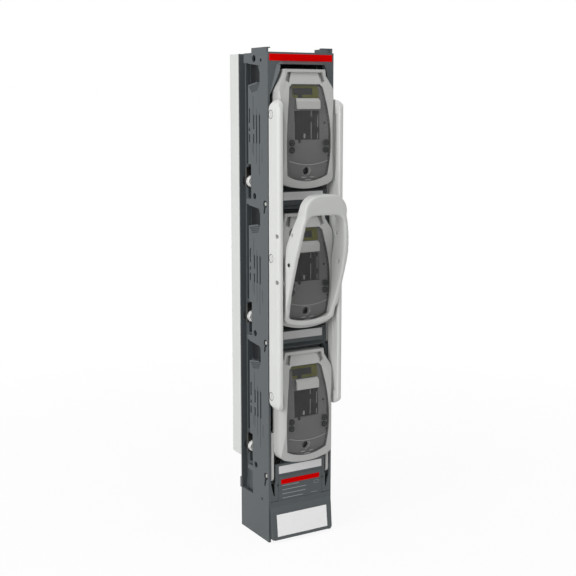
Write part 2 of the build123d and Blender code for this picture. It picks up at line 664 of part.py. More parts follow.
def pole_base(pole):
    """Housing round one pole, from under its deck to under the deck of the pole above."""
    z = hinge_z(pole)
    deep = HOUSING_DEPTH
    deck = z - DECK_DROP
    low = CABLE_SPLIT if pole == POLES else deck
    top = HOUSING_TOP if pole == 1 else deck + POLE_PITCH
    inside = top - WALL if pole == 1 else top + 1
    body = slab(-HALF, HALF, 0, deep, low, top)
    body -= chamber(pole, inside)
    body -= slab(-INNER, INNER, WALL, DECK_FRONT, deck - 1, deck + WALL + 1)
    body += pair(pocket_block(pole, low, top))
    if pole < POLES:
        body += pair(pocket_block(pole + 1, low, top))
        body += slab(-PAD_HALF, PAD_HALF, -PAD_REACH, 0, z + PAD_BOTTOM, z + PAD_TOP)
    jaw = z + UPPER_JAW
    narrow = RECESS_DEEP_HALF - WALL
    body += slab(-narrow, narrow, 60.0, deep - WALL, jaw - 12.0, jaw + 12.0)
    if pole == 1:
        body += top_hooks()
    around = slab(-HALF - 1, HALF + 1, -20, deep + 1, low, top)
    for number in (pole, pole + 1):
        if number <= POLES:
            body += lid_collar(number) & around
            body -= lid_opening(number)
    for number in (pole, pole + 1):
        if number <= POLES:
            body -= pair(side_recess(number))
            for cut in side_cuts(number):
                body -= pair(cut)
    if pole == 1:
        body -= pair(slab(RECESS_HALF, HALF + 1, 64.0, RECESS_BACK, top - 20.0, top + 1))
        body -= pair(pin_x(4.6, INNER - 1, HALF + 1, 36.4, top - 4.4 - WALL))
        body -= pair(pin_x(2.3, INNER - 1, HALF + 1, 18.1, top - 10.1))
    passage = pin_y(SLEEVE_RADIUS + GAP, BRIDGE_DEPTH, deep + 1, BOLT_SPACING / 2, z + BRIDGE_HEIGHT)
    body -= pair(passage)
    body -= slab(-6.3, 6.3, 55.0, deep + 1, jaw - 9.3, jaw + 9.3)
    if pole == POLES:
        body -= cable_space(low - 1, deck)
        body -= cover_cuts()
        body -= bar_passages()
        body -= pair(foot_recess())
    return body


def top_hooks():
    """Two hooked tabs on the housing's top edge."""
    hooks = []
    for side, width in ((-1, 2.8), (1, 14.0)):
        edge = side * HALF
        inside = side * (HALF - 2.8)
        tab = slab(min(edge, inside), max(edge, inside), 3.0, 43.0, HOUSING_TOP - 1, HOUSING_TOP + 6.1)
        curl = side * (HALF - 2.8 - width)
        tab += slab(min(edge, curl), max(edge, curl), 3.0, 8.0, HOUSING_TOP + 4.6, HOUSING_TOP + 6.1)
        hooks.append(tab)
    return hooks[0] + hooks[1]


def cover_cuts():
    """Room for the terminal cover's tongue and screws in the front wall, and the arm slots' lower ends."""
    cuts = slab(-TONGUE_HALF - GAP, TONGUE_HALF + GAP, -1, WALL + 1, COVER_JOINT - 1, TONGUE_TOP + GAP)
    wedge = polygon([(40.2, ARM_SLOT_BOTTOM), (INNER, ARM_SLOT_BOTTOM), (42.0, -27.0), (40.2, -27.0)])
    cuts += Pos(0, 0, hinge_z(POLES)) * pair(from_front(wedge, -1, WALL + 1))
    return cuts + pair(pin_y(COVER_SCREW_RADIUS, -1, WALL + 1, COVER_SCREW_X, COVER_SCREW_Z))


def bar_passages():
    """Slots for the cable bars in the back wall and in the lowest deck."""
    cuts = []
    deck_z = hinge_z(POLES) - DECK_DROP
    half = CABLE_BAR_WIDTH / 2 + GAP
    back = TERMINAL_PLANE + CABLE_BAR_THICKNESS + GAP
    for x in cable_bar_places():
        cuts.append(slab(x - half, x + half, 55.0, HOUSING_DEPTH + 1, CABLE_STEP_Z - 2.4, CABLE_STEP_Z + 2.4))
        cuts.append(slab(x - half, x + half, TERMINAL_PLANE - GAP, back, deck_z - 1, deck_z + 4))
    return cuts[0] + cuts[1:]


def foot_recess():
    """Lower end of the right side recess, below the lowest pole; its inner wall leans outwards."""
    top = hinge_z(POLES) + RECESS_LOW
    bend = RECESS_BOTTOM + 14.0
    face = [(RECESS_HALF, top), (RECESS_HALF, bend), (RECESS_HALF + 1.6, RECESS_BOTTOM)]
    face = polygon(face + [(HALF + 1, RECESS_BOTTOM), (HALF + 1, top)])
    recess = from_front(face, PANEL_END_LOWER, RECESS_BACK)
    shaft = slab(RECESS_HALF + 2.0, INNER, PANEL_END_LOWER + 2.0, 66.0, CABLE_BACK_TOP - 1, RECESS_BOTTOM + 1)
    return recess + shaft


def cable_space(low, top):
    """The cable compartment's inside between two heights."""
    wide = RECESS_HALF - WALL
    space = slab(-INNER, INNER, WALL, PANEL_END_LOWER - WALL, low, top)
    return space + slab(-wide, wide, WALL, HOUSING_DEPTH - WALL, low, top)


def cable_base():
    """Lower end of the housing round the cable compartment, open below and at its lower back."""
    deep = HOUSING_DEPTH
    low = HOUSING_BOTTOM
    body = slab(-HALF, HALF, 0, deep, low, CABLE_SPLIT)
    body -= cable_space(low - 1, CABLE_SPLIT + 1)
    body -= slab(-INNER, INNER, WALL, deep + 1, low - 1, CABLE_BACK_TOP)
    body -= slab(-INNER, INNER, -1, WALL + 1, low - 1, COVER_JOINT)
    for x in (-TERMINAL_PITCH / 2, TERMINAL_PITCH / 2):
        body += slab(x - 1.0, x + 1.0, WALL + 1.5, deep - WALL + 0.5, low + 3.0, CABLE_SPLIT)
    tab = slab(HALF - 2.8, HALF, deep - 1, deep + 3.7, CABLE_BACK_TOP + 1.6, CABLE_SPLIT)
    tab += slab(HALF - 2.8, HALF, deep, deep + 3.7, CABLE_SPLIT - 0.1, CABLE_BACK_TOP + 16.6)
    body += pair(tab)
    body -= pair(foot_recess())
    body -= cover_cuts()
    return body - pair(pin_x(2.0, INNER - 1, HALF + 1, 18.9, COVER_JOINT))


def cable_bar_places():
    return [-CABLE_BAR_PITCH, CABLE_BAR_PITCH, 0.0]


def rear_cover():
    """Pale tray over the cable bars behind the housing, with round passages for the bolt sleeves."""
    low = REAR_COVER_BOTTOM
    front = HOUSING_DEPTH
    back = HOUSING_DEPTH + REAR_COVER_DEPTH
    thick = REAR_COVER_WALL
    tray = slab(-HALF, HALF, front, back, low, HOUSING_TOP)
    tray -= slab(-HALF + thick, HALF - thick, front - 1, back - thick, low + thick, HOUSING_TOP - thick)
    for pole in range(1, POLES + 1):
        z = hinge_z(pole) + BRIDGE_HEIGHT
        tray -= pair(pin_y(SLEEVE_RADIUS + GAP, front, back + 1, BOLT_SPACING / 2, z))
    return tray


def terminal_cover():
    """Front cover of the cable compartment: a tongue above a sloping, chamfered apron."""
    joint = COVER_JOINT - GAP
    tongue = slab(-TONGUE_HALF, TONGUE_HALF, 0, WALL, joint - 1, TONGUE_TOP)
    low = HOUSING_BOTTOM + 0.6
    profile = polygon(
        [
            (-0.6, joint),
            (-0.6, joint - LEDGE_TOP),
            (-LEDGE_REACH, joint - LEDGE_LOW),
            (-APRON_REACH, low),
            (-APRON_REACH + WALL, low),
            (-0.02, joint - 40.0),
            (-0.02, joint),
        ]
    )
    apron = from_side(profile, -HALF, HALF)
    outline = [
        (-HALF, joint),
        (HALF, joint),
        (HALF, low + 5.0),
        (HALF - 4.6, low),
        (-HALF + 4.6, low),
        (-HALF, low + 5.0),
    ]
    apron &= from_front(polygon(outline), -20.0, 20.0)
    edge = low + 5.0
    cheek = [(-0.5, joint), (-0.5, joint - LEDGE_TOP - 0.4), (-APRON_REACH + 0.4, edge), (-0.02, edge)]
    cheek = polygon(cheek + [(-0.02, joint)])
    apron += pair(from_side(cheek, HALF - 2.2, HALF))
    inner = slab(-INNER + GAP, INNER - GAP, -0.02, WALL, COVER_JOINT - 22.0, joint)
    cover = apron + inner + tongue
    for x in (-COVER_SCREW_X, COVER_SCREW_X):
        cover -= pin_y(COVER_SCREW_RADIUS + 0.1, -1, WALL + 1, x, COVER_SCREW_Z)
    return cover


def cover_screws():
    """Two screws in the joint between the tongue and the housing."""
    screws = []
    for x in (-COVER_SCREW_X, COVER_SCREW_X):
        head = pin_y(COVER_SCREW_RADIUS, 0.5, WALL, x, COVER_SCREW_Z)
        head -= slab(x - 0.4, x + 0.4, 0, 1.3, COVER_SCREW_Z - 1.5, COVER_SCREW_Z + 1.5)
        screws.append(head)
    return screws


def fuse_jaw(z, riser):
    """Forked contact: a base with two spring fingers that flare to take a blade."""
    half = BLADE_THICKNESS / 2
    finger = polygon(
        [
            (half, JAW_BASE),
            (half, JAW_TIP + 5.0),
            (half + 2.4, JAW_TIP),
            (half + 2.4 + FINGER, JAW_TIP),
            (half + FINGER, JAW_TIP + 6.0),
            (half + FINGER, JAW_BASE),
        ]
    )
    finger = Pos(0, FRONT, z - JAW_HEIGHT / 2) * extrude(finger, amount=JAW_HEIGHT)
    if finger.bounding_box().max.Z < z:
        finger = mirror(finger, Plane.XY.offset(z))
    base = slab(-12.0, 12.0, JAW_BASE, 60.0 + riser, z - JAW_HEIGHT / 2 + 2, z + JAW_HEIGHT / 2 - 2)
    return base + pair(finger)


def jaw_spring(z):
    """Steel clip that presses the fingers of a jaw together."""
    outer = BLADE_THICKNESS / 2 + FINGER
    clip = slab(-outer - 1.2, outer + 1.2, 44.0, 49.0, z - JAW_HEIGHT / 2 - 1.2, z + JAW_HEIGHT / 2 + 1.2)
    return clip - slab(-outer, outer, 43.0, 50.0, z - JAW_HEIGHT / 2, z + JAW_HEIGHT / 2)


def contact_bridge(z):
    """Copper bridge behind the lower jaw with the two sleeves that stand on the busbar."""
    back = BRIDGE_DEPTH + BRIDGE_THICKNESS
    plate = slab(-HALF + 4.0, HALF - 4.0, BRIDGE_DEPTH, back, z - 8.0, z + 19.0)
    sleeve = pin_y(SLEEVE_RADIUS, back, HOUSING_DEPTH + REAR_COVER_DEPTH, BOLT_SPACING / 2, z)
    bridge = plate + pair(sleeve)
    bridge -= pair(pin_y(BOLT_RADIUS + 0.2, BRIDGE_DEPTH - 1, 120.0, BOLT_SPACING / 2, z))
    mouth = HOUSING_DEPTH + REAR_COVER_DEPTH - THREAD_SINK - 0.7
    return bridge - pair(pin_y(SLEEVE_MOUTH, mouth, 120.0, BOLT_SPACING / 2, z))


def busbar_bolts():
    """Six flange-head bolts whose threaded ends stand out behind the sleeves."""
    bolts = []
    for pole in range(1, POLES + 1):
        z = hinge_z(pole) + BRIDGE_HEIGHT
        for x in (-BOLT_SPACING / 2, BOLT_SPACING / 2):
            back = HOUSING_DEPTH + REAR_COVER_DEPTH + BOLT_REACH
            plane = HOUSING_DEPTH + REAR_COVER_DEPTH
            bolt = pin_y(BOLT_SHANK_RADIUS, BRIDGE_DEPTH - 1, plane - THREAD_SINK + 0.1, x, z)
            bolt += pin_y(BOLT_RADIUS, plane - THREAD_SINK, back, x, z)
            bolt += pin_y(BOLT_HEAD_RADIUS + 0.5, BRIDGE_DEPTH - 1.4, BRIDGE_DEPTH, x, z)
            hexagon = extrude(RegularPolygon(BOLT_HEAD_RADIUS, 6), amount=BOLT_HEAD_HEIGHT)
            bolt += Pos(x, FRONT + BRIDGE_DEPTH, z) * Rot(90, 0, 0) * hexagon
            bolts.append(bolt)
    return bolts


def cable_bar(pole, place):
    """Copper bar from an upper jaw, down inside the rear cover and forward to its cable terminal."""
    z = hinge_z(pole) + UPPER_JAW
    thick = CABLE_BAR_THICKNESS
    back = CABLE_BAR_DEPTH + thick
    half = CABLE_BAR_WIDTH / 2
    stub = slab(-6.0, 6.0, 60.0, back, z - 9.0, z + 9.0)
    cross = slab(min(-6.0, place - half), max(6.0, place + half), CABLE_BAR_DEPTH, back, z - 9.0, z + 9.0)
    drop = slab(place - half, place + half, CABLE_BAR_DEPTH, back, CABLE_STEP_Z - 2.0, z)
    step = slab(place - half, place + half, TERMINAL_PLANE, back, CABLE_STEP_Z - 2.0, CABLE_STEP_Z + 2.0)
    plane = TERMINAL_PLANE
    foot_z = HOUSING_BOTTOM + TERMINAL_HEIGHT
    lower = slab(place - half, place + half, plane, plane + thick, foot_z, CABLE_STEP_Z + 2.0)
    side = (place > 0) - (place < 0)
    x = side * TERMINAL_PITCH
    wide = TERMINAL_WIDTH / 2
    pad = slab(x - wide, x + wide, plane, plane + thick, foot_z - 14.0, foot_z + 14.0)
    bar = stub + cross + drop + step + lower + pad
    return bar - pin_y(TERMINAL_BOLT_RADIUS + 0.3, plane - 1, plane + thick + 1, x, foot_z)


def terminal_bolts():
    """One bolt, washer and nut for each cable terminal."""
    bolts = []
    z = HOUSING_BOTTOM + TERMINAL_HEIGHT
    back = TERMINAL_PLANE + CABLE_BAR_THICKNESS
    for x in (-TERMINAL_PITCH, 0.0, TERMINAL_PITCH):
        hexagon = extrude(RegularPolygon(9.2, 6), amount=6.4)
        bolt = pin_y(TERMINAL_BOLT_RADIUS, TERMINAL_PLANE - 2.0, back + 8.0, x, z)
        bolt += Pos(x, FRONT + TERMINAL_PLANE - 1.6, z) * Rot(90, 0, 0) * hexagon
        bolt += pin_y(10.0, TERMINAL_PLANE - 1.6, TERMINAL_PLANE, x, z)
        bolt += Pos(x, FRONT + back + 6.4, z) * Rot(90, 0, 0) * hexagon
        bolts.append(bolt)
    return bolts


def arc_chute(z):
    """Holder beside an upper jaw with slots for the arc plates."""
    cheek = slab(27.5, 29.5, 10.0, 60.0, z - 12.0, z + 12.0)
    cheek += slab(14.0, 29.5, 57.5, 60.0, z - 12.0, z + 12.0)
    for depth in ARC_PLATE_DEPTHS:
        cheek -= slab(27.4, 29.6, depth, depth + 1.2, z - 10.0, z + 9.0)
    return both(cheek)


def arc_plates(z):
    """Thin steel plates that stand across the path of the blade, each side of a jaw."""
    plates = []
    for depth in ARC_PLATE_DEPTHS:
        outline = [(9.0, z - 10.0), (29.5, z - 10.0), (29.5, z + 9.0), (9.0, z + 9.0), (13.0, z - 0.5)]
        plate = from_front(polygon(outline), depth, depth + 1.2)
        plates += both(plate)
    return plates


def label_strip(pole):
    """Blank label: on the pad below the two upper lids, on the housing's front below the lowest."""
    z = hinge_z(pole)
    if pole < POLES:
        return slab(-30.2, 30.2, -PAD_REACH - 0.5, -PAD_REACH, z + PAD_BOTTOM + 0.4, z + PAD_TOP - 0.4)
    return slab(-33.9, 33.9, -0.5, 0, z + 3.2, z + 13.8)


def rating_label():
    """Large blank label on the sloping apron."""
    start = COVER_JOINT - GAP - LEDGE_LOW
    slope = (APRON_REACH - LEDGE_REACH) / (start - (HOUSING_BOTTOM + 0.6))
    top = HOUSING_BOTTOM + 38.8
    low = HOUSING_BOTTOM + 8.8
    front = -LEDGE_REACH - slope * (start - top)
    back = -LEDGE_REACH - slope * (start - low)
    face = polygon([(front - 0.3, top), (back - 0.3, low), (back, low), (front, top)])
    return from_side(face, -39.8, 39.8)


def name_bands():
    """Two blank red bands: across the head of the housing and on the cover's tongue."""
    head = slab(-47.4, 47.4, -0.3, 0, HOUSING_TOP - 11.0, HOUSING_TOP - 2.4)
    tongue = slab(-30.4, 30.4, -0.3, 0, TONGUE_TOP - 12.0, TONGUE_TOP - 5.4)
    return head, tongue


def save(name, shape):
    """Write one node; a list of solids becomes one group."""
    if isinstance(shape, list):
        shape = Compound(children=shape)
    export_step(shape, f"parts/{name}.step")


def build():
    os.makedirs("parts", exist_ok=True)
    save("cable_base", cable_base())
    save("rear_cover", rear_cover())
    save("terminal_cover", terminal_cover())
    save("cover_screws", cover_screws())
    save("rating_label", rating_label())
    head_band, tongue_band = name_bands()
    save("head_band", head_band)
    save("tongue_band", tongue_band)
    save("busbar_bolts", busbar_bolts())
    save("terminal_bolts", terminal_bolts())
    springs = []
    for pole, place in zip(range(1, POLES + 1), cable_bar_places()):
        z = hinge_z(pole)
        save(f"pole_base_{pole}", pole_base(pole))
        save(f"lid_frame_{pole}", lid_frame(z))
        save(f"lid_window_{pole}", lid_window(z))
        save(f"fuse_carrier_{pole}", fuse_carrier(z))
        save(f"colour_plate_{pole}", colour_plate(z))
        save(f"marker_block_{pole}", marker_block(z))
        save(f"rail_pins_{pole}", rail_pins(z))
        save(f"upper_jaw_{pole}", fuse_jaw(z + UPPER_JAW, 0.0))
        save(f"lower_jaw_{pole}", fuse_jaw(z + LOWER_JAW, BRIDGE_DEPTH - 60.0))
        springs.append(jaw_spring(z + UPPER_JAW))
        springs.append(jaw_spring(z + LOWER_JAW))
        save(f"contact_bridge_{pole}", contact_bridge(z + BRIDGE_HEIGHT))
        save(f"cable_bar_{pole}", cable_bar(pole, place))
        save(f"arc_chute_{pole}", arc_chute(z + UPPER_JAW))
        save(f"arc_plates_{pole}", arc_plates(z + UPPER_JAW))
        save(f"label_strip_{pole}", label_strip(pole))
    save("jaw_springs", springs)
    save("handle", handle())
    rail = side_rail()
    save("rail_right", rail)
    save("rail_left", mirror(rail, Plane.YZ))


build()
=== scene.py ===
# %% [markdown]
# # A three-pole fuse switch disconnector
# The real thing is a tall, narrow switch that hangs on busbars in a distribution board. Three
# hinged lids carry the fuse links, two side rails tie the lids together, and one stirrup handle
# on the middle lid pulls them all open. The solids come from the part's CAD model. This script
# gives them their finishes, and adds the soft-edged handle and the small marks that a mould
# leaves. First it loads the CAD pieces and notes the box that they fill.

import json
import math

import bmesh
import bpy
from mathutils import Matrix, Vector


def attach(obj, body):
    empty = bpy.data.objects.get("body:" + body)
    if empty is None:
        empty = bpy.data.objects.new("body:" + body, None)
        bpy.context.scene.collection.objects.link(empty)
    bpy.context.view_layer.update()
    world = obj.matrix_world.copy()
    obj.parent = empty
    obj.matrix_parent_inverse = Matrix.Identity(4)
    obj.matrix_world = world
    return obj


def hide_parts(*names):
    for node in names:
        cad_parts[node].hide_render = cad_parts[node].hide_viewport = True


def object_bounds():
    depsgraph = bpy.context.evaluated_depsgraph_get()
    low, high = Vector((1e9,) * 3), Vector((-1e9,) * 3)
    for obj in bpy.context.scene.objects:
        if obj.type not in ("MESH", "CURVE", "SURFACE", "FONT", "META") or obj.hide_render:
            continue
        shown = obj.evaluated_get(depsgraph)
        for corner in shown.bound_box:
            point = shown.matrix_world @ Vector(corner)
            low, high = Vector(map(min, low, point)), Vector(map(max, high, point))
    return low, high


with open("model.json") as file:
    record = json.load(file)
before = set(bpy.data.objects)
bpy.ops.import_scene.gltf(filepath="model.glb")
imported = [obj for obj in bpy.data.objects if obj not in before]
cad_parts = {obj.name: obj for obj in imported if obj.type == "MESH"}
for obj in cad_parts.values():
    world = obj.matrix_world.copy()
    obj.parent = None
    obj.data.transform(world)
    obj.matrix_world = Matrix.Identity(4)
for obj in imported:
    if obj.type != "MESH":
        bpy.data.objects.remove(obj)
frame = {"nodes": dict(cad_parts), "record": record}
cad_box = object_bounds()
nodes = frame["nodes"]
POLES = (1, 2, 3)
MM = 0.001
print("CAD pieces:", len(nodes))

# %% [markdown]
# Depths and heights on the switch are easier to think about from the front plane of the housing
# and from a lid's hinge, as its maker would. They could be typed as places in the world, but then
# each number would hide two sums. Two short functions do the sums instead.

# %% Places on the switch
FRONT = -103.0
HINGE_MIDDLE = -26.4
POLE_PITCH = 185.0


def hinge_z(pole):
    """Height of a lid's hinge in millimetres; pole 1 is the top one."""
    return HINGE_MIDDLE + (2 - pole) * POLE_PITCH


def at(x, depth, z):
    """A point in metres from millimetres: depth counts backwards from the front plane."""
    return Vector((x * MM, (FRONT + depth) * MM, z * MM))


print("hinges at", [hinge_z(pole) for pole in POLES])

# %% [markdown]
# The camera stands to the left of the switch and a little above its middle, with a long lens, so
# that the tall body keeps nearly parallel edges. It is aimed by its direction and not at a point,
# because the picture is not centred on the switch.

# %% Camera
LENS = 67.8
SENSOR = 36.0
CAMERA_PLACE = (-0.7398, -1.3253, 0.2865)
TURN = math.radians(30.506)
TILT = math.radians(9.587)
lens = bpy.data.cameras.new("camera")
lens.lens = LENS
lens.sensor_width = SENSOR
camera = bpy.data.objects.new("camera", lens)
bpy.context.scene.collection.objects.link(camera)
camera.location = CAMERA_PLACE
level = math.cos(TILT)
sight = Vector((math.sin(TURN) * level, math.cos(TURN) * level, -math.sin(TILT)))
camera.rotation_euler = sight.to_track_quat("-Z", "Y").to_euler()
bpy.context.scene.camera = camera
bpy.context.scene.view_settings.view_transform = "Standard"
print("camera looks along", tuple(round(part, 3) for part in sight))

# %% [markdown]
# A material is a small sum: colour plus a little unevenness, less the polish on an edge. Written
# with nodes one by one, that sum is hard to read. So one small class wraps a socket and lets
# Python's own signs add the Math nodes.

# %% Sums of sockets
class Value:
    """A socket that can stand in a sum; each sign adds a Math node to its tree."""

    def __init__(self, nodes, socket):
        self.nodes = nodes
        self.socket = socket

    def sum(self, operation, first, second):
        return self.nodes.node("ShaderNodeMath", {"operation": operation}, {0: first, 1: second})

    def __add__(self, other):
        return self.sum("ADD", self, other)

    def __sub__(self, other):
        return self.sum("SUBTRACT", self, other)

    def __rsub__(self, other):
        return self.sum("SUBTRACT", other, self)

    def __mul__(self, other):
        return self.sum("MULTIPLY", self, other)

    __radd__ = __add__
    __rmul__ = __mul__


print("signs that add a node: + - *")

# %% [markdown]
# Every other node comes from one method, which takes the kind of node, its settings and what goes
# into its sockets. Materials, the floor and the world all use it. Colours are the one exception
# to the sums: a Math node would turn them grey, so they pass through a Mix node.

# %% Trees of nodes
class Nodes:
    """The node tree of a material or of the world, and the one method that adds to it."""

    def __init__(self, owner, ending="ShaderNodeOutputMaterial"):
        owner.use_nodes = True
        self.tree = owner.node_tree
        self.tree.nodes.clear()
        self.ending = self.tree.nodes.new(ending)

    def fill(self, node, inputs):
        """Put a number, a colour or a link into each given socket."""
        for key, value in inputs.items():
            if isinstance(value, Value):
                self.tree.links.new(value.socket, node.inputs[key])
            else:
                node.inputs[key].default_value = value

    def node(self, kind, settings=None, inputs=None, output=0):
        made = self.tree.nodes.new(kind)
        for key, value in (settings or {}).items():
            setattr(made, key, value)
        self.fill(made, inputs or {})
        return Value(self, made.outputs[output])

    def mix(self, factor, first, second):
        """A colour between two."""
        colours = {0: factor, 6: first, 7: second}
        return self.node("ShaderNodeMix", {"data_type": "RGBA"}, colours, 2)

    def end(self, shader):
        """Make this shader the look of the whole material or world."""
        self.fill(self.ending, {0: shader})


def grey(level):
    return (level, level, level, 1.0)


def shade(colour, factor):
    """A colour made lighter or darker."""
    return tuple(min(1.0, part * factor) for part in colour[:3]) + (1.0,)


print("half of a light grey:", shade(grey(0.8), 0.5))

# %% [markdown]
# Each finish of the switch is one Principled shader. What is the same all over a piece, such as
# how strongly it mirrors, is set on the shader once. What changes over the surface comes later,
# by the name of the shader's socket. So a finish reads like a list of its own looks.

# %% Finishes
class Finish(Nodes):
    """A material in the making, around its one shader."""

    def __init__(self, name, constants):
        self.material = bpy.data.materials.new(name)
        super().__init__(self.material)
        self.shader = self.tree.nodes.new("ShaderNodeBsdfPrincipled")
        self.fill(self.shader, constants)
        self.end(Value(self, self.shader.outputs[0]))

    def noise(self, place, scale, detail):
        """Soft random spots between 0 and 1; a larger scale makes smaller spots."""
        inputs = {"Vector": place, "Scale": scale, "Detail": detail}
        return self.node("ShaderNodeTexNoise", {}, inputs)

    def relief(self, strength, distance, height, **under):
        """A bumpy normal, on top of the rounded one of a Bevel node where that is given."""
        inputs = {"Strength": strength, "Distance": distance, "Height": height, **under}
        return self.node("ShaderNodeBump", {}, inputs)

    def looks(self, **sockets):
        """What changes over the surface, by the name of the shader's socket."""
        self.fill(self.shader, {key.replace("_", " "): value for key, value in sockets.items()})
        return self.material


finishes = {}
print("finishes so far:", len(finishes))

# %% [markdown]
# Most of the switch is moulded plastic, filled with glass fibre. Such a surface has a fine
# spark-eroded grain, slow waves where the melt cooled, slightly rounded edges, and edges that are
# rubbed a little lighter and smoother by hands. The Bevel node finds the edges: where its rounded
# normal leaves the true one, there is an edge. It needs no change to the CAD meshes, and so the
# solids keep their exact size.

# %% Moulded plastic
WAVE_SCALE = 14.0
FLOW_SCALE = 160.0
GRAIN_SCALE = 1800.0
GRAIN_DEPTH = 0.0003
EDGE_START = 0.01
EDGE_FULL = 0.22


def plastic(name, colour, roughness, edge=0.0006, wear=0.16, gloss=0.4):
    """Fine-grained moulded plastic with softened, slightly rubbed edges."""
    finish = Finish(name, {"IOR": 1.5, "Specular IOR Level": gloss})
    place = finish.node("ShaderNodeTexCoord", output="Object")
    slow = finish.noise(place, WAVE_SCALE, 3.0)
    fine = finish.noise(place, GRAIN_SCALE, 2.0)
    flow = finish.noise(place, FLOW_SCALE, 4.0)
    soft = finish.node("ShaderNodeBevel", {"samples": 4}, {"Radius": edge})
    true = finish.node("ShaderNodeNewGeometry", output="Normal")
    dot = {"operation": "DOT_PRODUCT"}
    along = finish.node("ShaderNodeVectorMath", dot, {0: soft, 1: true}, "Value")
    span = {0: 1 - along, 1: EDGE_START, 2: EDGE_FULL, 3: 0.0, 4: 1.0}
    rubbed = finish.node("ShaderNodeMapRange", {}, span)
    body = finish.mix(slow, shade(colour, 0.95), shade(colour, 1.05))
    body = finish.mix(flow * 0.35, body, shade(colour, 0.96))
    return finish.looks(
        Base_Color=finish.mix(rubbed * wear, body, shade(colour, 1.5)),
        Roughness=roughness + (fine - 0.5) * 0.10 + (slow - 0.5) * 0.06 - rubbed * 0.08,
        Normal=finish.relief(0.12, GRAIN_DEPTH, fine * 0.6 + flow * 0.4, Normal=soft),
    )


print("grain of", round(1.0 / (GRAIN_SCALE * MM), 2), "mm")

# %% [markdown]
# The housing is dark grey, the other mouldings are near white and differ a little in tone and in
# gloss, as parts from several moulds do. The lids are likely the same plastic as the rails and the
# handle, but they get a darker grey, as painted shade for the light the close-set lids lose.
# One dark grey could do for all shadows in the moulding too, but a groove is too narrow for the
# lamps to shade, so it has a duller, darker grey.

# %% The plastics
DARK = (0.073, 0.084, 0.089)
finishes |= {
    "housing": plastic("housing_plastic", DARK, 0.48, wear=0.25),
    "groove": plastic("groove_shadow", shade(DARK, 0.55), 0.60, wear=0.0, gloss=0.1),
    "rear_cover": plastic("rear_cover_plastic", (0.61, 0.625, 0.605), 0.46),
    # painted shade: the lids' grey is darker than the rails' for the light they lose among each
    # other
    "lid": plastic("lid_plastic", (0.46, 0.465, 0.455), 0.42, edge=0.0011),
    "rail": plastic("rail_plastic", (0.62, 0.63, 0.615), 0.40, edge=0.001),
    "handle": plastic("handle_plastic", (0.56, 0.57, 0.555), 0.36),
    "carrier": plastic("carrier_plastic", (0.46, 0.46, 0.455), 0.45),
    "marker": plastic("marker_plastic", (0.42, 0.42, 0.41), 0.45),
}
print("plastics:", sorted(finishes))

# %% [markdown]
# The window is smoked polycarbonate. On the real lid it lets just enough light through to show
# the carrier plate and the dark gap where a link would sit. A true refracting glass would be slow
# and noisy for a thin flat pane, so the pane is a dark gloss with part transparency: light passes
# straight, as it nearly does through a 2 mm sheet. Fine polishing marks keep it from looking wet.

# %% Smoked window
SMOKE = (0.085, 0.105)
COVER = 0.30
HAZE_SCALE = 40.0
MARK_SCALE = 900.0
FINE_DEPTH = 0.0002


def smoked(name):
    finish = Finish(name, {"IOR": 1.58, "Specular IOR Level": 0.25})
    place = finish.node("ShaderNodeTexCoord", output="Object")
    haze = finish.noise(place, HAZE_SCALE, 4.0)
    marks = finish.noise(place, MARK_SCALE, 2.0)
    soft = finish.node("ShaderNodeBevel", {"samples": 4}, {"Radius": 0.0008})
    return finish.looks(
        Base_Color=finish.mix(haze, grey(SMOKE[0]), grey(SMOKE[1])),
        Roughness=0.20 + haze * 0.10,
        Alpha=COVER + haze * 0.05,
        Normal=finish.relief(0.04, FINE_DEPTH, marks, Normal=soft),
    )


finishes["window"] = smoked("smoked_window")
print("the window covers", COVER, "of what is behind it")

# %% [markdown]
# Bolts and nuts are zinc-plated steel, and the contacts are copper with a thin coat of silver.
# Both are bare metal, so their colour lies in the reflection. Plating is never quite even: a slow
# noise clouds its tone, and fine streaks from rolling or turning change how sharp it reflects.
# Streaks could be painted as lines, but a noise squeezed along one direction never repeats.

# %% Plated metals
CLOUD_SCALE = 60.0
TURNED = (900.0, 900.0, 120.0)
ROLLED = (1200.0, 200.0, 200.0)


def plated(name, colour, tarnish, roughness, streaks, metal=1.0):
    finish = Finish(name, {"Metallic": metal})
    place = finish.node("ShaderNodeTexCoord", output="Object")
    cloud = finish.noise(place, CLOUD_SCALE, 5.0)
    stretch = finish.node("ShaderNodeMapping", {}, {"Vector": place, "Scale": streaks})
    line = finish.noise(stretch, 1.0, 3.0)
    soft = finish.node("ShaderNodeBevel", {"samples": 4}, {"Radius": 0.0005})
    return finish.looks(
        Base_Color=finish.mix(cloud, shade(colour, 1.0), shade(tarnish, 1.0)),
        Roughness=roughness + (line - 0.5) * 0.22 + cloud * 0.08,
        Normal=finish.relief(0.12, FINE_DEPTH, line, Normal=soft),
    )


METALS = {
    "steel": ("zinc_steel", (0.66, 0.67, 0.68), (0.50, 0.51, 0.53), 0.28, TURNED),
    "bright_zinc": ("bright_zinc", (0.86, 0.86, 0.84), (0.74, 0.74, 0.73), 0.36, TURNED, 0.3),
    "dark_steel": ("dark_steel", (0.10, 0.10, 0.105), (0.07, 0.07, 0.075), 0.40, TURNED),
    # the contact bridges get a near-black grey, far darker than copper
    "bridge": ("near_black_copper", (0.105, 0.105, 0.10), (0.07, 0.07, 0.068), 0.42, ROLLED),
    "contact": ("silvered_copper", (0.80, 0.78, 0.73), (0.62, 0.55, 0.46), 0.26, ROLLED),
}
finishes |= {key: plated(*values) for key, values in METALS.items()}
print("metals:", sorted(METALS))

# %% [markdown]
# Labels are thin film under a clear matt lacquer. Seen close, such film is not one flat tone: it
# has faint mottling, slow waves from the glue under it, and a soft sheen. Two noises give these,
# and one function makes all the labels, bands and dark marks, each with its own colour. The dark
# print film also serves as painted shade in holes, gaps, pockets and dimples, and the white film
# as painted highlights inside the sight opening.

# %% Label film
MOTTLE_SCALE = 300.0
GLUE_SCALE = 35.0


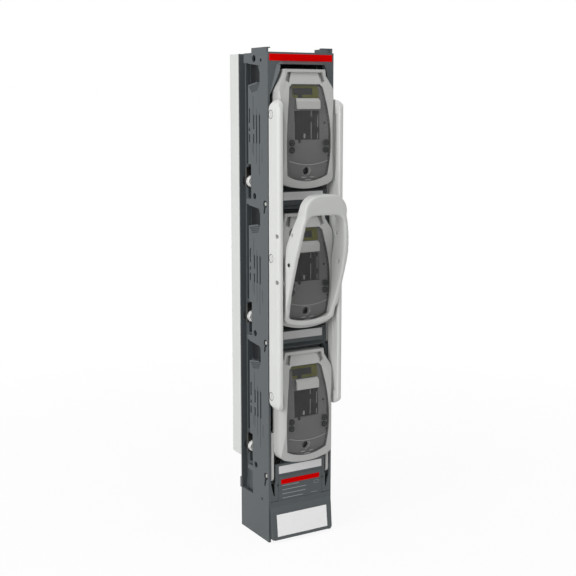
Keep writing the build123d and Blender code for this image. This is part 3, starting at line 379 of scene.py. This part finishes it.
def film(name, colour, roughness=0.42, gloss=0.12):
    finish = Finish(name, {"IOR": 1.46, "Specular IOR Level": gloss})
    place = finish.node("ShaderNodeTexCoord", output="Object")
    mottle = finish.noise(place, MOTTLE_SCALE, 4.0)
    wave = finish.noise(place, GLUE_SCALE, 2.0)
    return finish.looks(
        Base_Color=finish.mix(mottle, shade(colour, 0.96), shade(colour, 1.03)),
        Roughness=roughness + (mottle - 0.5) * 0.12,
        Normal=finish.relief(0.05, FINE_DEPTH, wave + mottle * 0.3),
    )


FILMS = {
    # white film: labels, and also painted highlights inside the sight opening
    "label_white": ("white_film", grey(0.93)),
    "label_pale": ("pale_film", grey(0.72)),
    "label_mid": ("mid_film", grey(0.60)),
    "label_grey": ("grey_film", grey(0.46)),
    "band_red": ("red_film", (0.68, 0.001, 0.001), 0.36, 0.0),
    "plate_yellow": ("yellow_film", (0.34, 0.335, 0.015), 0.40),
    "print_pale": ("pale_print", (0.30, 0.32, 0.32)),
    # dark print: real print, and also painted shade in holes, gaps, pockets and dimples
    "ink": ("dark_print", (0.022, 0.024, 0.026)),
}
finishes |= {key: film(*values) for key, values in FILMS.items()}
print("finishes:", len(finishes))

# %% [markdown]
# Each CAD piece now gets its finish. The record already says which kind of material each node is
# made of, so most of the work is one loop; only a few pieces need a finish of their own.

# %% Dress the CAD pieces
own = {
    "handle": "handle",
    "label_strip_1": "label_mid",
    "label_strip_3": "label_pale",
    "cover_screws": "dark_steel",
    "busbar_bolts": "bright_zinc",
}
own |= {f"marker_block_{pole}": "marker" for pole in POLES}
own |= {f"contact_bridge_{pole}": "bridge" for pole in POLES}
slots = {part["node"]: part["material_slot"] for part in frame["record"]["subparts"]}
for name, piece in nodes.items():
    piece.data.materials.clear()
    piece.data.materials.append(finishes[own.get(name, slots[name])])
print("dressed:", len(nodes), "of them with a finish of their own:", len(own))

# %% [markdown]
# The stirrup handle is what a hand grips, so the real one has generous round edges all over. CAD
# fillets on such a leaning ring are hard to build. Here the CAD solid's own mesh is copied, cut
# into even small cells and relaxed, which rounds every edge by about the same amount and leaves
# the broad faces where they were.

# %% The handle
HANDLE_CELL = 1.25 * MM
HANDLE_ROUNDS = 14


def relaxed(name, node, cell, rounds):
    """A soft-edged copy of a CAD piece, from a fine even mesh that is relaxed."""
    mesh = nodes[node].data.copy()
    draft = bpy.data.objects.new("draft", mesh)
    bpy.context.scene.collection.objects.link(draft)
    even = draft.modifiers.new("even", "REMESH")
    even.mode = "VOXEL"
    even.voxel_size = cell
    ease = draft.modifiers.new("ease", "SMOOTH")
    ease.factor = 0.5
    ease.iterations = rounds
    done = draft.evaluated_get(bpy.context.evaluated_depsgraph_get())
    result = bpy.data.meshes.new_from_object(done)
    result.name = name
    bpy.data.objects.remove(draft)
    bpy.data.meshes.remove(mesh)
    piece = bpy.data.objects.new(name, result)
    bpy.context.scene.collection.objects.link(piece)
    result.shade_smooth()
    return piece


handle = relaxed("handle_grip", "handle", HANDLE_CELL, HANDLE_ROUNDS)
handle.data.materials.clear()
handle.data.materials.append(finishes["handle"])
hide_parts("handle")
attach(handle, "lid_2")
print("handle faces:", len(handle.data.polygons))

# %% [markdown]
# Small marks come next: grooves, dots and thin lines that are too fine for the CAD model. A dark
# texture could fake them, but as meshes they stay sharp and can be exported. Many marks go into
# one mesh, so that a row of them stays one piece. The simplest mark is a block with slightly
# bevelled edges.

# %% Pieces and blocks
def new_piece(name, form, finish, body):
    """Put a bmesh in the scene as a finished piece that rides on a body."""
    mesh = bpy.data.meshes.new(name)
    bmesh.ops.recalc_face_normals(form, faces=form.faces)
    form.to_mesh(mesh)
    form.free()
    mesh.materials.append(finishes[finish])
    piece = bpy.data.objects.new(name, mesh)
    bpy.context.scene.collection.objects.link(piece)
    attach(piece, body)


def add_block(form, x0, x1, d0, d1, z0, z1, bevel=0.0):
    """A block between two corners, in millimetres and depths."""
    low = at(x0, d0, z0)
    high = at(x1, d1, z1)
    made = bmesh.ops.create_cube(form, size=1.0)
    for corner in made["verts"]:
        corner.co = Vector((
            low.x if corner.co.x < 0 else high.x,
            low.y if corner.co.y < 0 else high.y,
            low.z if corner.co.z < 0 else high.z,
        ))
    edges = list({edge for corner in made["verts"] for edge in corner.link_edges})
    if bevel:
        bmesh.ops.bevel(form, geom=edges, offset=bevel * MM, segments=2, affect="EDGES")


# %% [markdown]
# The lids have a bulged front, part of a large cylinder. A mark on it has to bend with it, or its
# ends would sink in or stand off. A Shrinkwrap modifier could press it on, but the cylinder is
# known, so the depth is worked out. Every bent mark is a row of cross sections, and one function
# joins neighbouring sections with faces.

# %% Forms that follow the lid
BULGE_RADIUS = 290.0
BULGE_HEIGHT = 84.0
BULGE_REACH = 20.8


def lid_front(height, inset=0.0):
    """Depth of a lid's curved front at a height above its hinge."""
    reach = math.sqrt((BULGE_RADIUS - inset) ** 2 - (height - BULGE_HEIGHT) ** 2)
    return BULGE_RADIUS - BULGE_REACH - reach


def skin(form, sections, closed=False):
    """Join neighbouring sections with faces; a closed form joins its last to its first."""
    following = sections[1:] + sections[:1] if closed else sections[1:]
    for first, second in zip(sections, following):
        for place in range(len(first)):
            after = (place + 1) % len(first)
            form.faces.new((first[place], first[after], second[after], second[place]))
    if not closed:
        form.faces.new(sections[0])
        form.faces.new(sections[-1])


def add_bent(form, x0, x1, z0, z1, hinge, inset, thick, steps=6):
    """A thin plate that follows a lid's curved front, between two heights above the hinge."""
    sections = []
    for step in range(steps + 1):
        height = z0 + (z1 - z0) * step / steps
        front = lid_front(height, inset)
        corners = ((x0, front), (x1, front), (x1, front + thick), (x0, front + thick))
        sections.append([form.verts.new(at(x, depth, hinge + height)) for x, depth in corners])
    skin(form, sections)


print("the lid stands out by", round(-lid_front(BULGE_HEIGHT), 1), "mm")

# %% [markdown]
# A yellow plate with a dark field lies behind the top of the window. The field could be drawn in
# the plate's material, but two bent plates are simpler and keep a sharp edge under the window's
# haze. Below the test hole the mould has three small raised arcs, made in the same way in front
# of the window.

# %% The plate's field and the arcs
PLATE_FIELD = ((-19.0, 10.4, 140.6, 149.2, 6), (-12.0, -5.5, 137.0, 140.6, 2))
FIELD_INSET = 3.35
FIELD_THICK = 0.3
FOOT_ARCS = ((-5.6, 34.9, 3.2), (7.0, 34.9, 3.0), (1.0, 31.3, 4.2))
ARC_HEIGHT = 0.8
ARC_LIFT = 0.1
ARC_THICK = 0.5
for pole in POLES:
    hinge = hinge_z(pole)
    field = bmesh.new()
    for x0, x1, z0, z1, steps in PLATE_FIELD:
        add_bent(field, x0, x1, z0, z1, hinge, FIELD_INSET, FIELD_THICK, steps)
    new_piece(f"plate_field_{pole}", field, "ink", f"lid_{pole}")
    arcs = bmesh.new()
    for x, height, half in FOOT_ARCS:
        top = height + ARC_HEIGHT
        add_bent(arcs, x - half, x + half, height, top, hinge, -ARC_LIFT, ARC_THICK, 2)
    new_piece(f"foot_arcs_{pole}", arcs, "label_grey", f"lid_{pole}")
print("arcs on each lid:", len(FOOT_ARCS))

# %% [markdown]
# Round marks lie on three kinds of surface: the lid's bulged front, a flat side panel, and a flat
# floor behind the front. A mark is the same disc or ring each time. So the surface is handed over
# as a small function, and one builder serves all three.

# %% Discs and rings
SIDE_HALF = 49.75


def on_front(hinge):
    """The lid's front: distance from its middle, height above the hinge, and how far out."""
    return lambda across, up, lift: at(across, lid_front(up) - lift, hinge + up)


def on_floor(depth, hinge):
    """A flat floor at a depth, with the same measures as the lid's front."""
    return lambda across, up, lift: at(across, depth - lift, hinge + up)


def on_panel(side, hinge, half=SIDE_HALF):
    """A side panel, left -1 or right 1: depth, height above the hinge, and how far out."""
    return lambda depth, up, lift: at(side * (half + lift), depth, hinge + up)


def add_disc(form, surface, centre, radius, inner=0.0, top=0.12, base=0.0, parts=20):
    """A thin disc on a surface, or a ring where it has an inner radius."""
    def rim(reach, lift):
        corners = []
        for part in range(parts):
            turn = 2.0 * math.pi * part / parts
            across = centre[0] + reach * math.cos(turn)
            up = centre[1] + reach * math.sin(turn)
            corners.append(form.verts.new(surface(across, up, lift)))
        return corners

    sections = [rim(radius, base), rim(radius, top)]
    if inner:
        sections += [rim(inner, top), rim(inner, base)]
    skin(form, sections, closed=bool(inner))


print("side panels at", SIDE_HALF, "mm from the middle")

# %% [markdown]
# Four ring marks lie beside the sight opening, most likely where a link's lugs sit, with a few
# small dots near them. The test hole below is a deep dark cup on the real lid. Its floor here is
# a dark disc, since lamps this soft would fill the cup with light.

# %% Rings and dots on the window
RING_PLACES = [(x, height) for x in (-25.6, 25.6) for height in (70.3, 79.5)]
RING = (4.0, 2.5)
RING_DOT = 1.5
DOTS = ((23.6, 104.8, 1.3), (29.4, 62.7, 1.2), (-11.2, 72.2, 0.4), (-11.2, 62.6, 0.4))
TEST_HOLE = (0.0, 43.1)
TEST_HOLE_RADIUS = 5.0
TEST_HOLE_FLOOR = -9.6
for pole in POLES:
    hinge = hinge_z(pole)
    rings = bmesh.new()
    for place in RING_PLACES:
        add_disc(rings, on_front(hinge), place, *RING)
        add_disc(rings, on_front(hinge), place, RING_DOT)
    for x, height, radius in DOTS:
        add_disc(rings, on_front(hinge), (x, height), radius)
    cup = on_floor(TEST_HOLE_FLOOR, hinge)
    add_disc(rings, cup, TEST_HOLE, TEST_HOLE_RADIUS, base=0.02)
    new_piece(f"lug_marks_{pole}", rings, "ink", f"lid_{pole}")
print("ring marks on each lid:", len(RING_PLACES))

# %% [markdown]
# Through the sight opening one sees narrow bright upright lines and one small bright spot among
# the parts inside. On the real switch the spot may be a view right through the housing. Edges so
# narrow are hard to light with soft lamps, so thin white blocks behind the window stand for all:
# they are painted highlights on the edges and a painted bright spot.

# %% Bright edges in the sight opening
EDGE_HALF = 0.35
EDGE_DEPTHS = (-14.2, -13.6)
EDGES = ((7.0, 113.0, 119.5), (7.0, 84.5, 106.0), (17.0, 99.0, 115.0), (17.0, 84.5, 92.0))
CHIP = (-4.4, -1.8, 85.4, 91.0)
for pole in POLES:
    hinge = hinge_z(pole)
    inside = bmesh.new()
    spans = [(x - EDGE_HALF, x + EDGE_HALF, low, high) for x, low, high in EDGES] + [CHIP]
    for x0, x1, low, high in spans:
        add_block(inside, x0, x1, *EDGE_DEPTHS, hinge + low, hinge + high, 0.1)
    new_piece(f"sight_highlights_{pole}", inside, "label_white", f"lid_{pole}")
print("bright edges in each opening:", len(spans))

# %% [markdown]
# A fine seam sweeps across the window above the test hole, where two parts of the mould met. It
# is a shallow curve, so it is built from short sections along a parabola. A bevelled curve object
# would give the same line, but a row of sections uses the function that is already here.

# %% The seam across the window
SEAM_HALF = 29
SEAM_HEIGHT = 51.4
SEAM_RISE = 5.2
SEAM_WIDTH = 0.5
SEAM_LIFT = 0.1
for pole in POLES:
    hinge = hinge_z(pole)
    seam = bmesh.new()
    ribs = []
    for x in range(-SEAM_HALF, SEAM_HALF + 1, 2):
        height = SEAM_HEIGHT + SEAM_RISE * (x / SEAM_HALF) ** 2
        low = height - SEAM_WIDTH / 2
        high = height + SEAM_WIDTH / 2
        corners = ((low, -SEAM_LIFT), (high, -SEAM_LIFT), (high, SEAM_LIFT), (low, SEAM_LIFT))
        points = [at(x, lid_front(up) + over, hinge + up) for up, over in corners]
        ribs.append([seam.verts.new(point) for point in points])
    skin(seam, ribs)
    new_piece(f"window_seam_{pole}", seam, "label_grey", f"lid_{pole}")
print("sections in each seam:", len(ribs))

# %% [markdown]
# Each side panel has fine moulded grooves that run on from its vent slots. They are only some
# tenths of a millimetre deep. Cut into the mesh they would need a knife through the CAD solid, so
# they are dark inlays here, about as wide as the real grooves and hardly proud of the panel. The
# inlays are painted shade, for the shadow that lies in each groove.

# %% Grooves on the side panels
GROOVES = (
    (38.9, 114.9, 139.0),
    (30.2, 114.9, 122.0),
    (22.4, 114.7, 118.0),
    (41.6, 65.5, 77.5),
    (38.0, 61.8, 78.4),
    (30.4, 51.9, 78.4),
    (22.6, 37.3, 78.1),
    (15.3, 53.0, 70.5),
)
GROOVE_HALF = 0.45
INLAY = 0.04
for pole in POLES:
    hinge = hinge_z(pole)
    lines = bmesh.new()
    for depth, low, high in GROOVES:
        d0, d1 = depth - GROOVE_HALF, depth + GROOVE_HALF
        for x in (-SIDE_HALF, SIDE_HALF):
            add_block(lines, x - INLAY, x + INLAY, d0, d1, hinge + low, hinge + high)
    # painted shade: dark inlays for the shadow in the grooves
    new_piece(f"side_groove_shade_{pole}", lines, "groove", "base")
print("grooves on each side of a pole:", len(GROOVES))

# %% [markdown]
# Under each stepped pocket the panel has a fan of small dimples. The rows follow the pocket's
# sloping lower edge and grow shorter downwards, so two loops and a little slope place them all. A
# texture could show dots too, but not in the mesh.

# %% Dimples under the pockets
FAN_ROWS = 4
FAN_WIDTH = 8
FAN_CORNER = (23.0, 155.1)
DIMPLE_STEP = 3.5
ROW_SHIFT = 1.6
ROW_DROP = 2.4
FAN_SLOPE = 0.17
DIMPLE_RADIUS = 1.15
for pole in POLES:
    dots = bmesh.new()
    for row in range(FAN_ROWS):
        for step in range(FAN_WIDTH - row):
            depth = FAN_CORNER[0] + DIMPLE_STEP * step + ROW_SHIFT * row
            height = FAN_CORNER[1] - FAN_SLOPE * (depth - FAN_CORNER[0]) - ROW_DROP * row
            for side in (-1, 1):
                panel = on_panel(side, hinge_z(pole))
                add_disc(dots, panel, (depth, height), DIMPLE_RADIUS, top=INLAY, parts=12)
    # The dark discs are painted shade, for the shadow inside each dimple.
    new_piece(f"pocket_dimple_shade_{pole}", dots, "ink", "base")
print("dimples in each fan:", sum(FAN_WIDTH - row for row in range(FAN_ROWS)))

# %% [markdown]
# The stepped pockets are deep, and on the real switch hardly any light reaches their floors. More
# contrast in the lamps would darken them, but also everything else. So thin dark plates lie on
# the floors, cut to each pocket's outline.

# %% Pocket floors
POCKET = ((53.5, 180.6), (39.8, 179.2), (26.9, 157.7), (53.5, 153.7))
RECESS = ((73.4, 181.5), (53.2, 181.5), (53.2, 150.0), (73.4, 150.0))
POCKET_FLOOR = (36.85, 36.95)
RECESS_FLOOR = (34.05, 34.15)
for pole in POLES:
    hinge = hinge_z(pole)
    floors = bmesh.new()
    for side in (-1, 1):
        for outline, faces in ((POCKET, POCKET_FLOOR), (RECESS, RECESS_FLOOR)):
            sections = []
            for x in faces:
                corners = [at(side * x, depth, hinge + height) for depth, height in outline]
                sections.append([floors.verts.new(corner) for corner in corners])
            skin(floors, sections)
    new_piece(f"pocket_floors_{pole}", floors, "ink", "base")
print("floors on each pole:", 2 * len((POCKET, RECESS)))

# %% [markdown]
# Each side rail hangs on three headed pins, and a hair-thin shadow shows round every head. The
# gap is modelled in the CAD part, but it is too narrow to look dark. A fine dark ring over it
# brings the shadow back.

# %% Rings round the rail pins
RAIL_PIN = (-7.6, 115.9)
RAIL_PIN_RING = (5.7, 5.1)
for pole in POLES:
    for side, name in ((-1, "left"), (1, "right")):
        edge = bmesh.new()
        panel = on_panel(side, hinge_z(pole))
        add_disc(edge, panel, RAIL_PIN, *RAIL_PIN_RING, top=INLAY, base=-0.10, parts=28)
        new_piece(f"pin_edge_{name}_{pole}", edge, "ink", f"rail_{name}")
print("ring width:", round(RAIL_PIN_RING[0] - RAIL_PIN_RING[1], 2), "mm")

# %% [markdown]
# The lower hole in each leg of the handle is dark on the real one. In the relaxed mesh it is only
# a few cells wide, so a dark disc of painted shade closes it on both legs.

# %% Handle holes
HANDLE_HOLE = (-37.5, 110.0)
HANDLE_HOLE_RADIUS = 2.3
HANDLE_HALF = 41.0
holes = bmesh.new()
for side in (-1, 1):
    leg = on_panel(side, hinge_z(2), HANDLE_HALF)
    add_disc(holes, leg, HANDLE_HOLE, HANDLE_HOLE_RADIUS, base=-0.3)
new_piece("handle_hole_shade", holes, "ink", "lid_2")
print("handle holes at", HANDLE_HALF, "mm from the middle")

# %% [markdown]
# The gap under a shut lid's foot is dark on the real switch. In the model a bright contact would
# show through it. Darker contacts would look wrong when the lids are open, so a thin plate of
# painted shade, in the dark groove finish, stands in front of them, clear of the lid's swing.

# %% The plate behind each foot
FOOT_PLATE = (-30.0, 36.0, 4.2, 4.7)
FOOT_PLATE_HEIGHTS = (8.0, 19.5)
for pole in POLES:
    low, high = (hinge_z(pole) + height for height in FOOT_PLATE_HEIGHTS)
    web = bmesh.new()
    add_block(web, *FOOT_PLATE, low, high, 0.1)
    new_piece(f"foot_shade_{pole}", web, "groove", "base")
print("foot plates:", len(POLES))

# %% [markdown]
# The lid's trunnions end inside round keyholes. The real hole is deep and dark round a slim pin,
# so a dark washer of painted shade lies in each hole, with the pin's pale end on it. Both ride on
# the lid, because the pin turns with it.

# %% Keyholes
WASHER = {"centre": (7.8, 0.0), "radius": 4.9, "top": -1.85, "base": -1.95, "parts": 24}
PIN_END = {"centre": (8.6, 0.3), "radius": 2.5, "top": -1.3, "base": -1.85}
for pole in POLES:
    shadow = bmesh.new()
    pins = bmesh.new()
    for side in (-1, 1):
        panel = on_panel(side, hinge_z(pole))
        add_disc(shadow, panel, **WASHER)
        add_disc(pins, panel, **PIN_END)
    new_piece(f"keyhole_shade_{pole}", shadow, "ink", f"lid_{pole}")
    new_piece(f"trunnion_ends_{pole}", pins, "lid", f"lid_{pole}")
print("keyholes:", 2 * len(POLES))

# %% [markdown]
# The lid's head is fuller than in the CAD solid: its sides run straight up to the neck and lean
# in only above it. The missing strip on each side is a small grid here. It follows the same two
# curved surfaces as the lid, so it carries them on without a seam: the bulged front, and the
# rounded shoulder beside it.

# %% The outline of the lid's head
SHOULDER_CENTRE = (30.748, -9.974)
SHOULDER_RADIUS = 10.852
SHOULDER_START = 31.5
NECK_OLD = ((130.0, 41.5), (134.5, 41.5), (156.0, 32.6), (173.0, 30.2))
NECK_NEW = (
    (130.0, 41.5),
    (146.0, 41.4),
    (151.0, 39.4),
    (157.5, 35.7),
    (164.0, 32.4),
    (170.0, 30.7),
    (173.0, 30.2),
)


def half_width(outline, height):
    """Half width at a height on an outline of (height, half width) points."""
    for (low, start), (high, end) in zip(outline, outline[1:]):
        if height <= high:
            return start + (end - start) * (height - low) / (high - low)
    return outline[-1][1]


def shoulder_depth(x):
    """Depth of the lid's rounded side at a distance from its middle."""
    across = min(max(x, SHOULDER_START) - SHOULDER_CENTRE[0], SHOULDER_RADIUS)
    return SHOULDER_CENTRE[1] - math.sqrt(SHOULDER_RADIUS**2 - across**2)


gain = half_width(NECK_NEW, 151.0) - half_width(NECK_OLD, 151.0)
print("the neck grows by", round(gain, 1), "mm on each side")

# %% [markdown]
# The grid's rows run from under the old edge to the new one, and each row closes round the back,
# so the strip is a solid piece. Pale floors close the finger recesses in the head from behind.

# %% The lid's shoulders and recess floors
CHEEK_HEIGHTS = (134.0, 170.0)
CHEEK_ROWS = 20
CHEEK_PARTS = 8
CHEEK_OVERLAP = 2.0
CHEEK_BACK = 4.0
RECESS_SPAN = (19.4, 31.0)
RECESS_HEIGHTS = (155.0, 168.9)
RECESS_INSET = 4.6
RECESS_THICK = 1.0


def add_cheek(form, side, hinge):
    """The strip between the lid's old and new outline on one side, with its outer wall."""
    rows = []
    bottom, top = CHEEK_HEIGHTS
    for step in range(CHEEK_ROWS + 1):
        height = bottom + (top - bottom) * step / CHEEK_ROWS
        inner = half_width(NECK_OLD, height) - CHEEK_OVERLAP
        outer = max(half_width(NECK_NEW, height), inner + CHEEK_OVERLAP)
        row = []
        for part in range(CHEEK_PARTS + 1):
            x = inner + (outer - inner) * part / CHEEK_PARTS
            row.append((x, max(lid_front(height), shoulder_depth(x)) - INLAY))
        row += [(outer, CHEEK_BACK), (inner + 0.4, CHEEK_BACK)]
        rows.append([form.verts.new(at(side * x, depth, hinge + height)) for x, depth in row])
    skin(form, rows)


for pole in POLES:
    cheeks = bmesh.new()
    for side in (-1, 1):
        add_cheek(cheeks, side, hinge_z(pole))
        low, high = sorted(side * x for x in RECESS_SPAN)
        floor_shape = (*RECESS_HEIGHTS, hinge_z(pole), RECESS_INSET, RECESS_THICK)
        add_bent(cheeks, low, high, *floor_shape)
    new_piece(f"lid_cheeks_{pole}", cheeks, "lid", f"lid_{pole}")
print("rows in each strip:", CHEEK_ROWS + 1)

# %% [markdown]
# The apron under the tongue is a little narrower than the housing and ends above its foot. The
# CAD solid's apron is as wide as the housing. It could be cut again in CAD, but a copy of its mesh
# is quicker to draw in at the sides and to lift at its lower edge, and it takes the solid's place.

# %% The apron
APRON_TOP = -240.0
NARROW_FROM = -248.0
APRON_FOOT = -302.8
APRON_EDGE = 1.0
APRON_LIP = 6.0
EDGE_LIFT = (3.6 * MM, 0.4 * MM)
LIP_LIFT = (1.6 * MM, 0.2 * MM)
EDGE_WIDTH = 0.992
SIDE_DRAW = 0.036
FOOT_DRAW = 0.016
apron = nodes["terminal_cover"].data.copy()
apron.name = "apron"
for corner in apron.vertices:
    height = corner.co.z / MM
    if corner.co.y / MM > FRONT - 0.01 or height > APRON_TOP:
        continue
    lift = (0.0, 0.0)
    if height < APRON_FOOT + APRON_EDGE:
        corner.co.x *= EDGE_WIDTH
        lift = EDGE_LIFT
    else:
        down = max(0.0, min(1.0, (NARROW_FROM - height) / (NARROW_FROM - APRON_FOOT)))
        corner.co.x *= 1.0 - (SIDE_DRAW + FOOT_DRAW * down)
        if height < APRON_FOOT + APRON_LIP:
            lift = LIP_LIFT
    corner.co.z += lift[0]
    corner.co.y += lift[1]
apron_piece = bpy.data.objects.new("apron_piece", apron)
bpy.context.scene.collection.objects.link(apron_piece)
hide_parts("terminal_cover")
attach(apron_piece, "base")
print("apron corners:", len(apron.vertices))

# %% [markdown]
# Two short cheeks of the housing close the ends of the apron's fold. They are plain bevelled
# blocks, set into the housing so that no gap shows beside the narrower apron.

# %% The apron's cheeks
APRON_CHEEK = (44.6, 46.9)
APRON_CHEEK_DEPTHS = (-7.2, -0.1)
APRON_CHEEK_HEIGHTS = (-298.9, -295.5)
cheek_ends = bmesh.new()
for side in (-1, 1):
    low, high = sorted(side * x for x in APRON_CHEEK)
    add_block(cheek_ends, low, high, *APRON_CHEEK_DEPTHS, *APRON_CHEEK_HEIGHTS, 0.3)
new_piece("apron_cheek_ends", cheek_ends, "housing", "base")
print("apron cheeks:", APRON_CHEEK)

# %% [markdown]
# The tongue of the terminal cover is a flat grey plate in front of the cable terminals. It holds
# four plain ruled lines and a small empty frame with a line under it, as on a blank form. Drawn
# in the material they would need a picture or many nodes. As low blocks they are a few numbers,
# and they are part of the mesh too.

# %% Ruled lines on the tongue
LINE_START = -28.5
LINE_HALF = 0.45
LINES = ((-2.0, -225.9), (9.6, -231.9), (8.4, -237.7), (4.4, -243.7))
BOX_SIDES = (
    (22.0, 29.6, -231.2, -230.8),
    (22.0, 29.6, -227.3, -226.9),
    (22.0, 22.4, -231.2, -226.9),
    (29.2, 29.6, -231.2, -226.9),
    (17.4, 27.6, -243.5, -243.0),
)
LINE_DEPTHS = (-0.06, 0.05)
ruled = bmesh.new()
spans = [(LINE_START, end, height - LINE_HALF, height + LINE_HALF) for end, height in LINES]
for x0, x1, z0, z1 in spans + list(BOX_SIDES):
    add_block(ruled, x0, x1, *LINE_DEPTHS, z0, z1)
new_piece("tongue_lines", ruled, "print_pale", "base")
print("ruled lines:", len(LINES))

# %% [markdown]
# A thin pale line shows above the top lid, where the head of the housing has a small ledge and
# light catches its edge. It is a painted highlight: one bevelled block in the marker finish, a
# quarter of a millimetre proud of the head.

# %% The painted highlight above the top lid
LEDGE = (-12.0, 22.8, -0.25, 0.1)
LEDGE_HEIGHTS = (180.9, 181.9)
low, high = (hinge_z(1) + height for height in LEDGE_HEIGHTS)
ledge = bmesh.new()
add_block(ledge, *LEDGE, low, high, 0.1)
new_piece("head_ledge_highlight", ledge, "marker", "base")
print("ledge at", low)

# %% [markdown]
# The lamps are large and soft, as in a product studio. The broad one stands on the left, so the
# housing's side is brighter than its front, and a second one above lights the top of the handle.
# Small lamps would give hard shadows, and a lit world alone would give none.

# %% Lamps
LAMPS = {
    "left_lamp": ((-2.6, -0.75, 0.9), (0.0, -0.05, 0.05), (1.6, 1.8), 50.0),
    "top_lamp": ((-0.3, -0.7, 2.5), (0.0, -0.05, 0.1), (1.6, 1.6), 24.0),
    "front_lamp": ((0.3, -3.0, 0.7), (0.0, -0.05, 0.0), (1.6, 1.6), 8.0),
}
for name, (place, aim, size, power) in LAMPS.items():
    lamp = bpy.data.lights.new(name, "AREA")
    lamp.shape = "RECTANGLE"
    lamp.size, lamp.size_y = size
    lamp.energy = power
    light = bpy.data.objects.new(name, lamp)
    bpy.context.scene.collection.objects.link(light)
    light.location = place
    light.rotation_euler = (Vector(aim) - Vector(place)).to_track_quat("-Z", "Y").to_euler()
print("lamps:", sorted(LAMPS))

# %% [markdown]
# A pale world fills the shadows. The background has to be plain white, and a brighter world would
# do that, but it would also flood the object. So rays that the camera sees directly, or by a
# mirror or a pane, meet plain white, and all other rays meet the dimmer world.

# %% The world
AMBIENT = 0.32


def seen_white(tree, shaded, white):
    """Mix in plain white for camera, mirror and pane rays."""
    kinds = ("Is Camera Ray", "Is Glossy Ray", "Is Transmission Ray")
    camera_ray, mirror_ray, pane_ray = (
        tree.node("ShaderNodeLightPath", output=kind) for kind in kinds
    )
    seen = camera_ray + mirror_ray + pane_ray
    return tree.node("ShaderNodeMixShader", {}, {0: seen, 1: shaded, 2: white})


world = bpy.data.worlds.new("studio")
bpy.context.scene.world = world
air = Nodes(world, "ShaderNodeOutputWorld")
soft_air = air.node("ShaderNodeBackground", {}, {0: grey(1.0), 1: AMBIENT})
white_air = air.node("ShaderNodeBackground", {}, {0: grey(1.0), 1: 1.0})
air.end(seen_white(air, soft_air, white_air))
print("world strength:", AMBIENT)

# %% [markdown]
# The floor is a plain pale sheet under the switch. Part of what the camera sees of it is plain
# white and part is the lit sheet, so a soft shadow stays near the switch. Farther out the sheet
# turns to plain white, and so no horizon shows.

# %% Floor
FLOOR_SIZE = 30.0
FLOOR_GAP = 0.0005
FLOOR_TONE = 0.92
FLOOR_WHITE = 0.90
FADE_NEAR = 0.25
FADE_FAR = 1.1
floor_mesh = bpy.data.meshes.new("floor")
floor_z = cad_box[0][2] - FLOOR_GAP
signs = ((-1, -1), (1, -1), (1, 1), (-1, 1))
corners = [(x * FLOOR_SIZE, y * FLOOR_SIZE, floor_z) for x, y in signs]
floor_mesh.from_pydata(corners, [], [(0, 1, 2, 3)])
floor = bpy.data.objects.new("floor", floor_mesh)
bpy.context.scene.collection.objects.link(floor)
paper = bpy.data.materials.new("pale_floor")
sheet = Nodes(paper)
lit = sheet.node("ShaderNodeBsdfDiffuse", {}, {0: grey(FLOOR_TONE)})
glow = sheet.node("ShaderNodeEmission", {}, {0: grey(1.0)})
spot = sheet.node("ShaderNodeTexCoord", output="Object")
reach = sheet.node("ShaderNodeVectorMath", {"operation": "LENGTH"}, {0: spot}, "Value")
span = {0: reach, 1: FADE_NEAR, 2: FADE_FAR, 3: FLOOR_WHITE, 4: 1.0}
fade = sheet.node("ShaderNodeMapRange", {}, span)
blend = sheet.node("ShaderNodeMixShader", {}, {0: fade, 1: lit, 2: glow})
sheet.end(seen_white(sheet, lit, blend))
floor_mesh.materials.append(paper)
print("floor at", round(floor_z, 4))
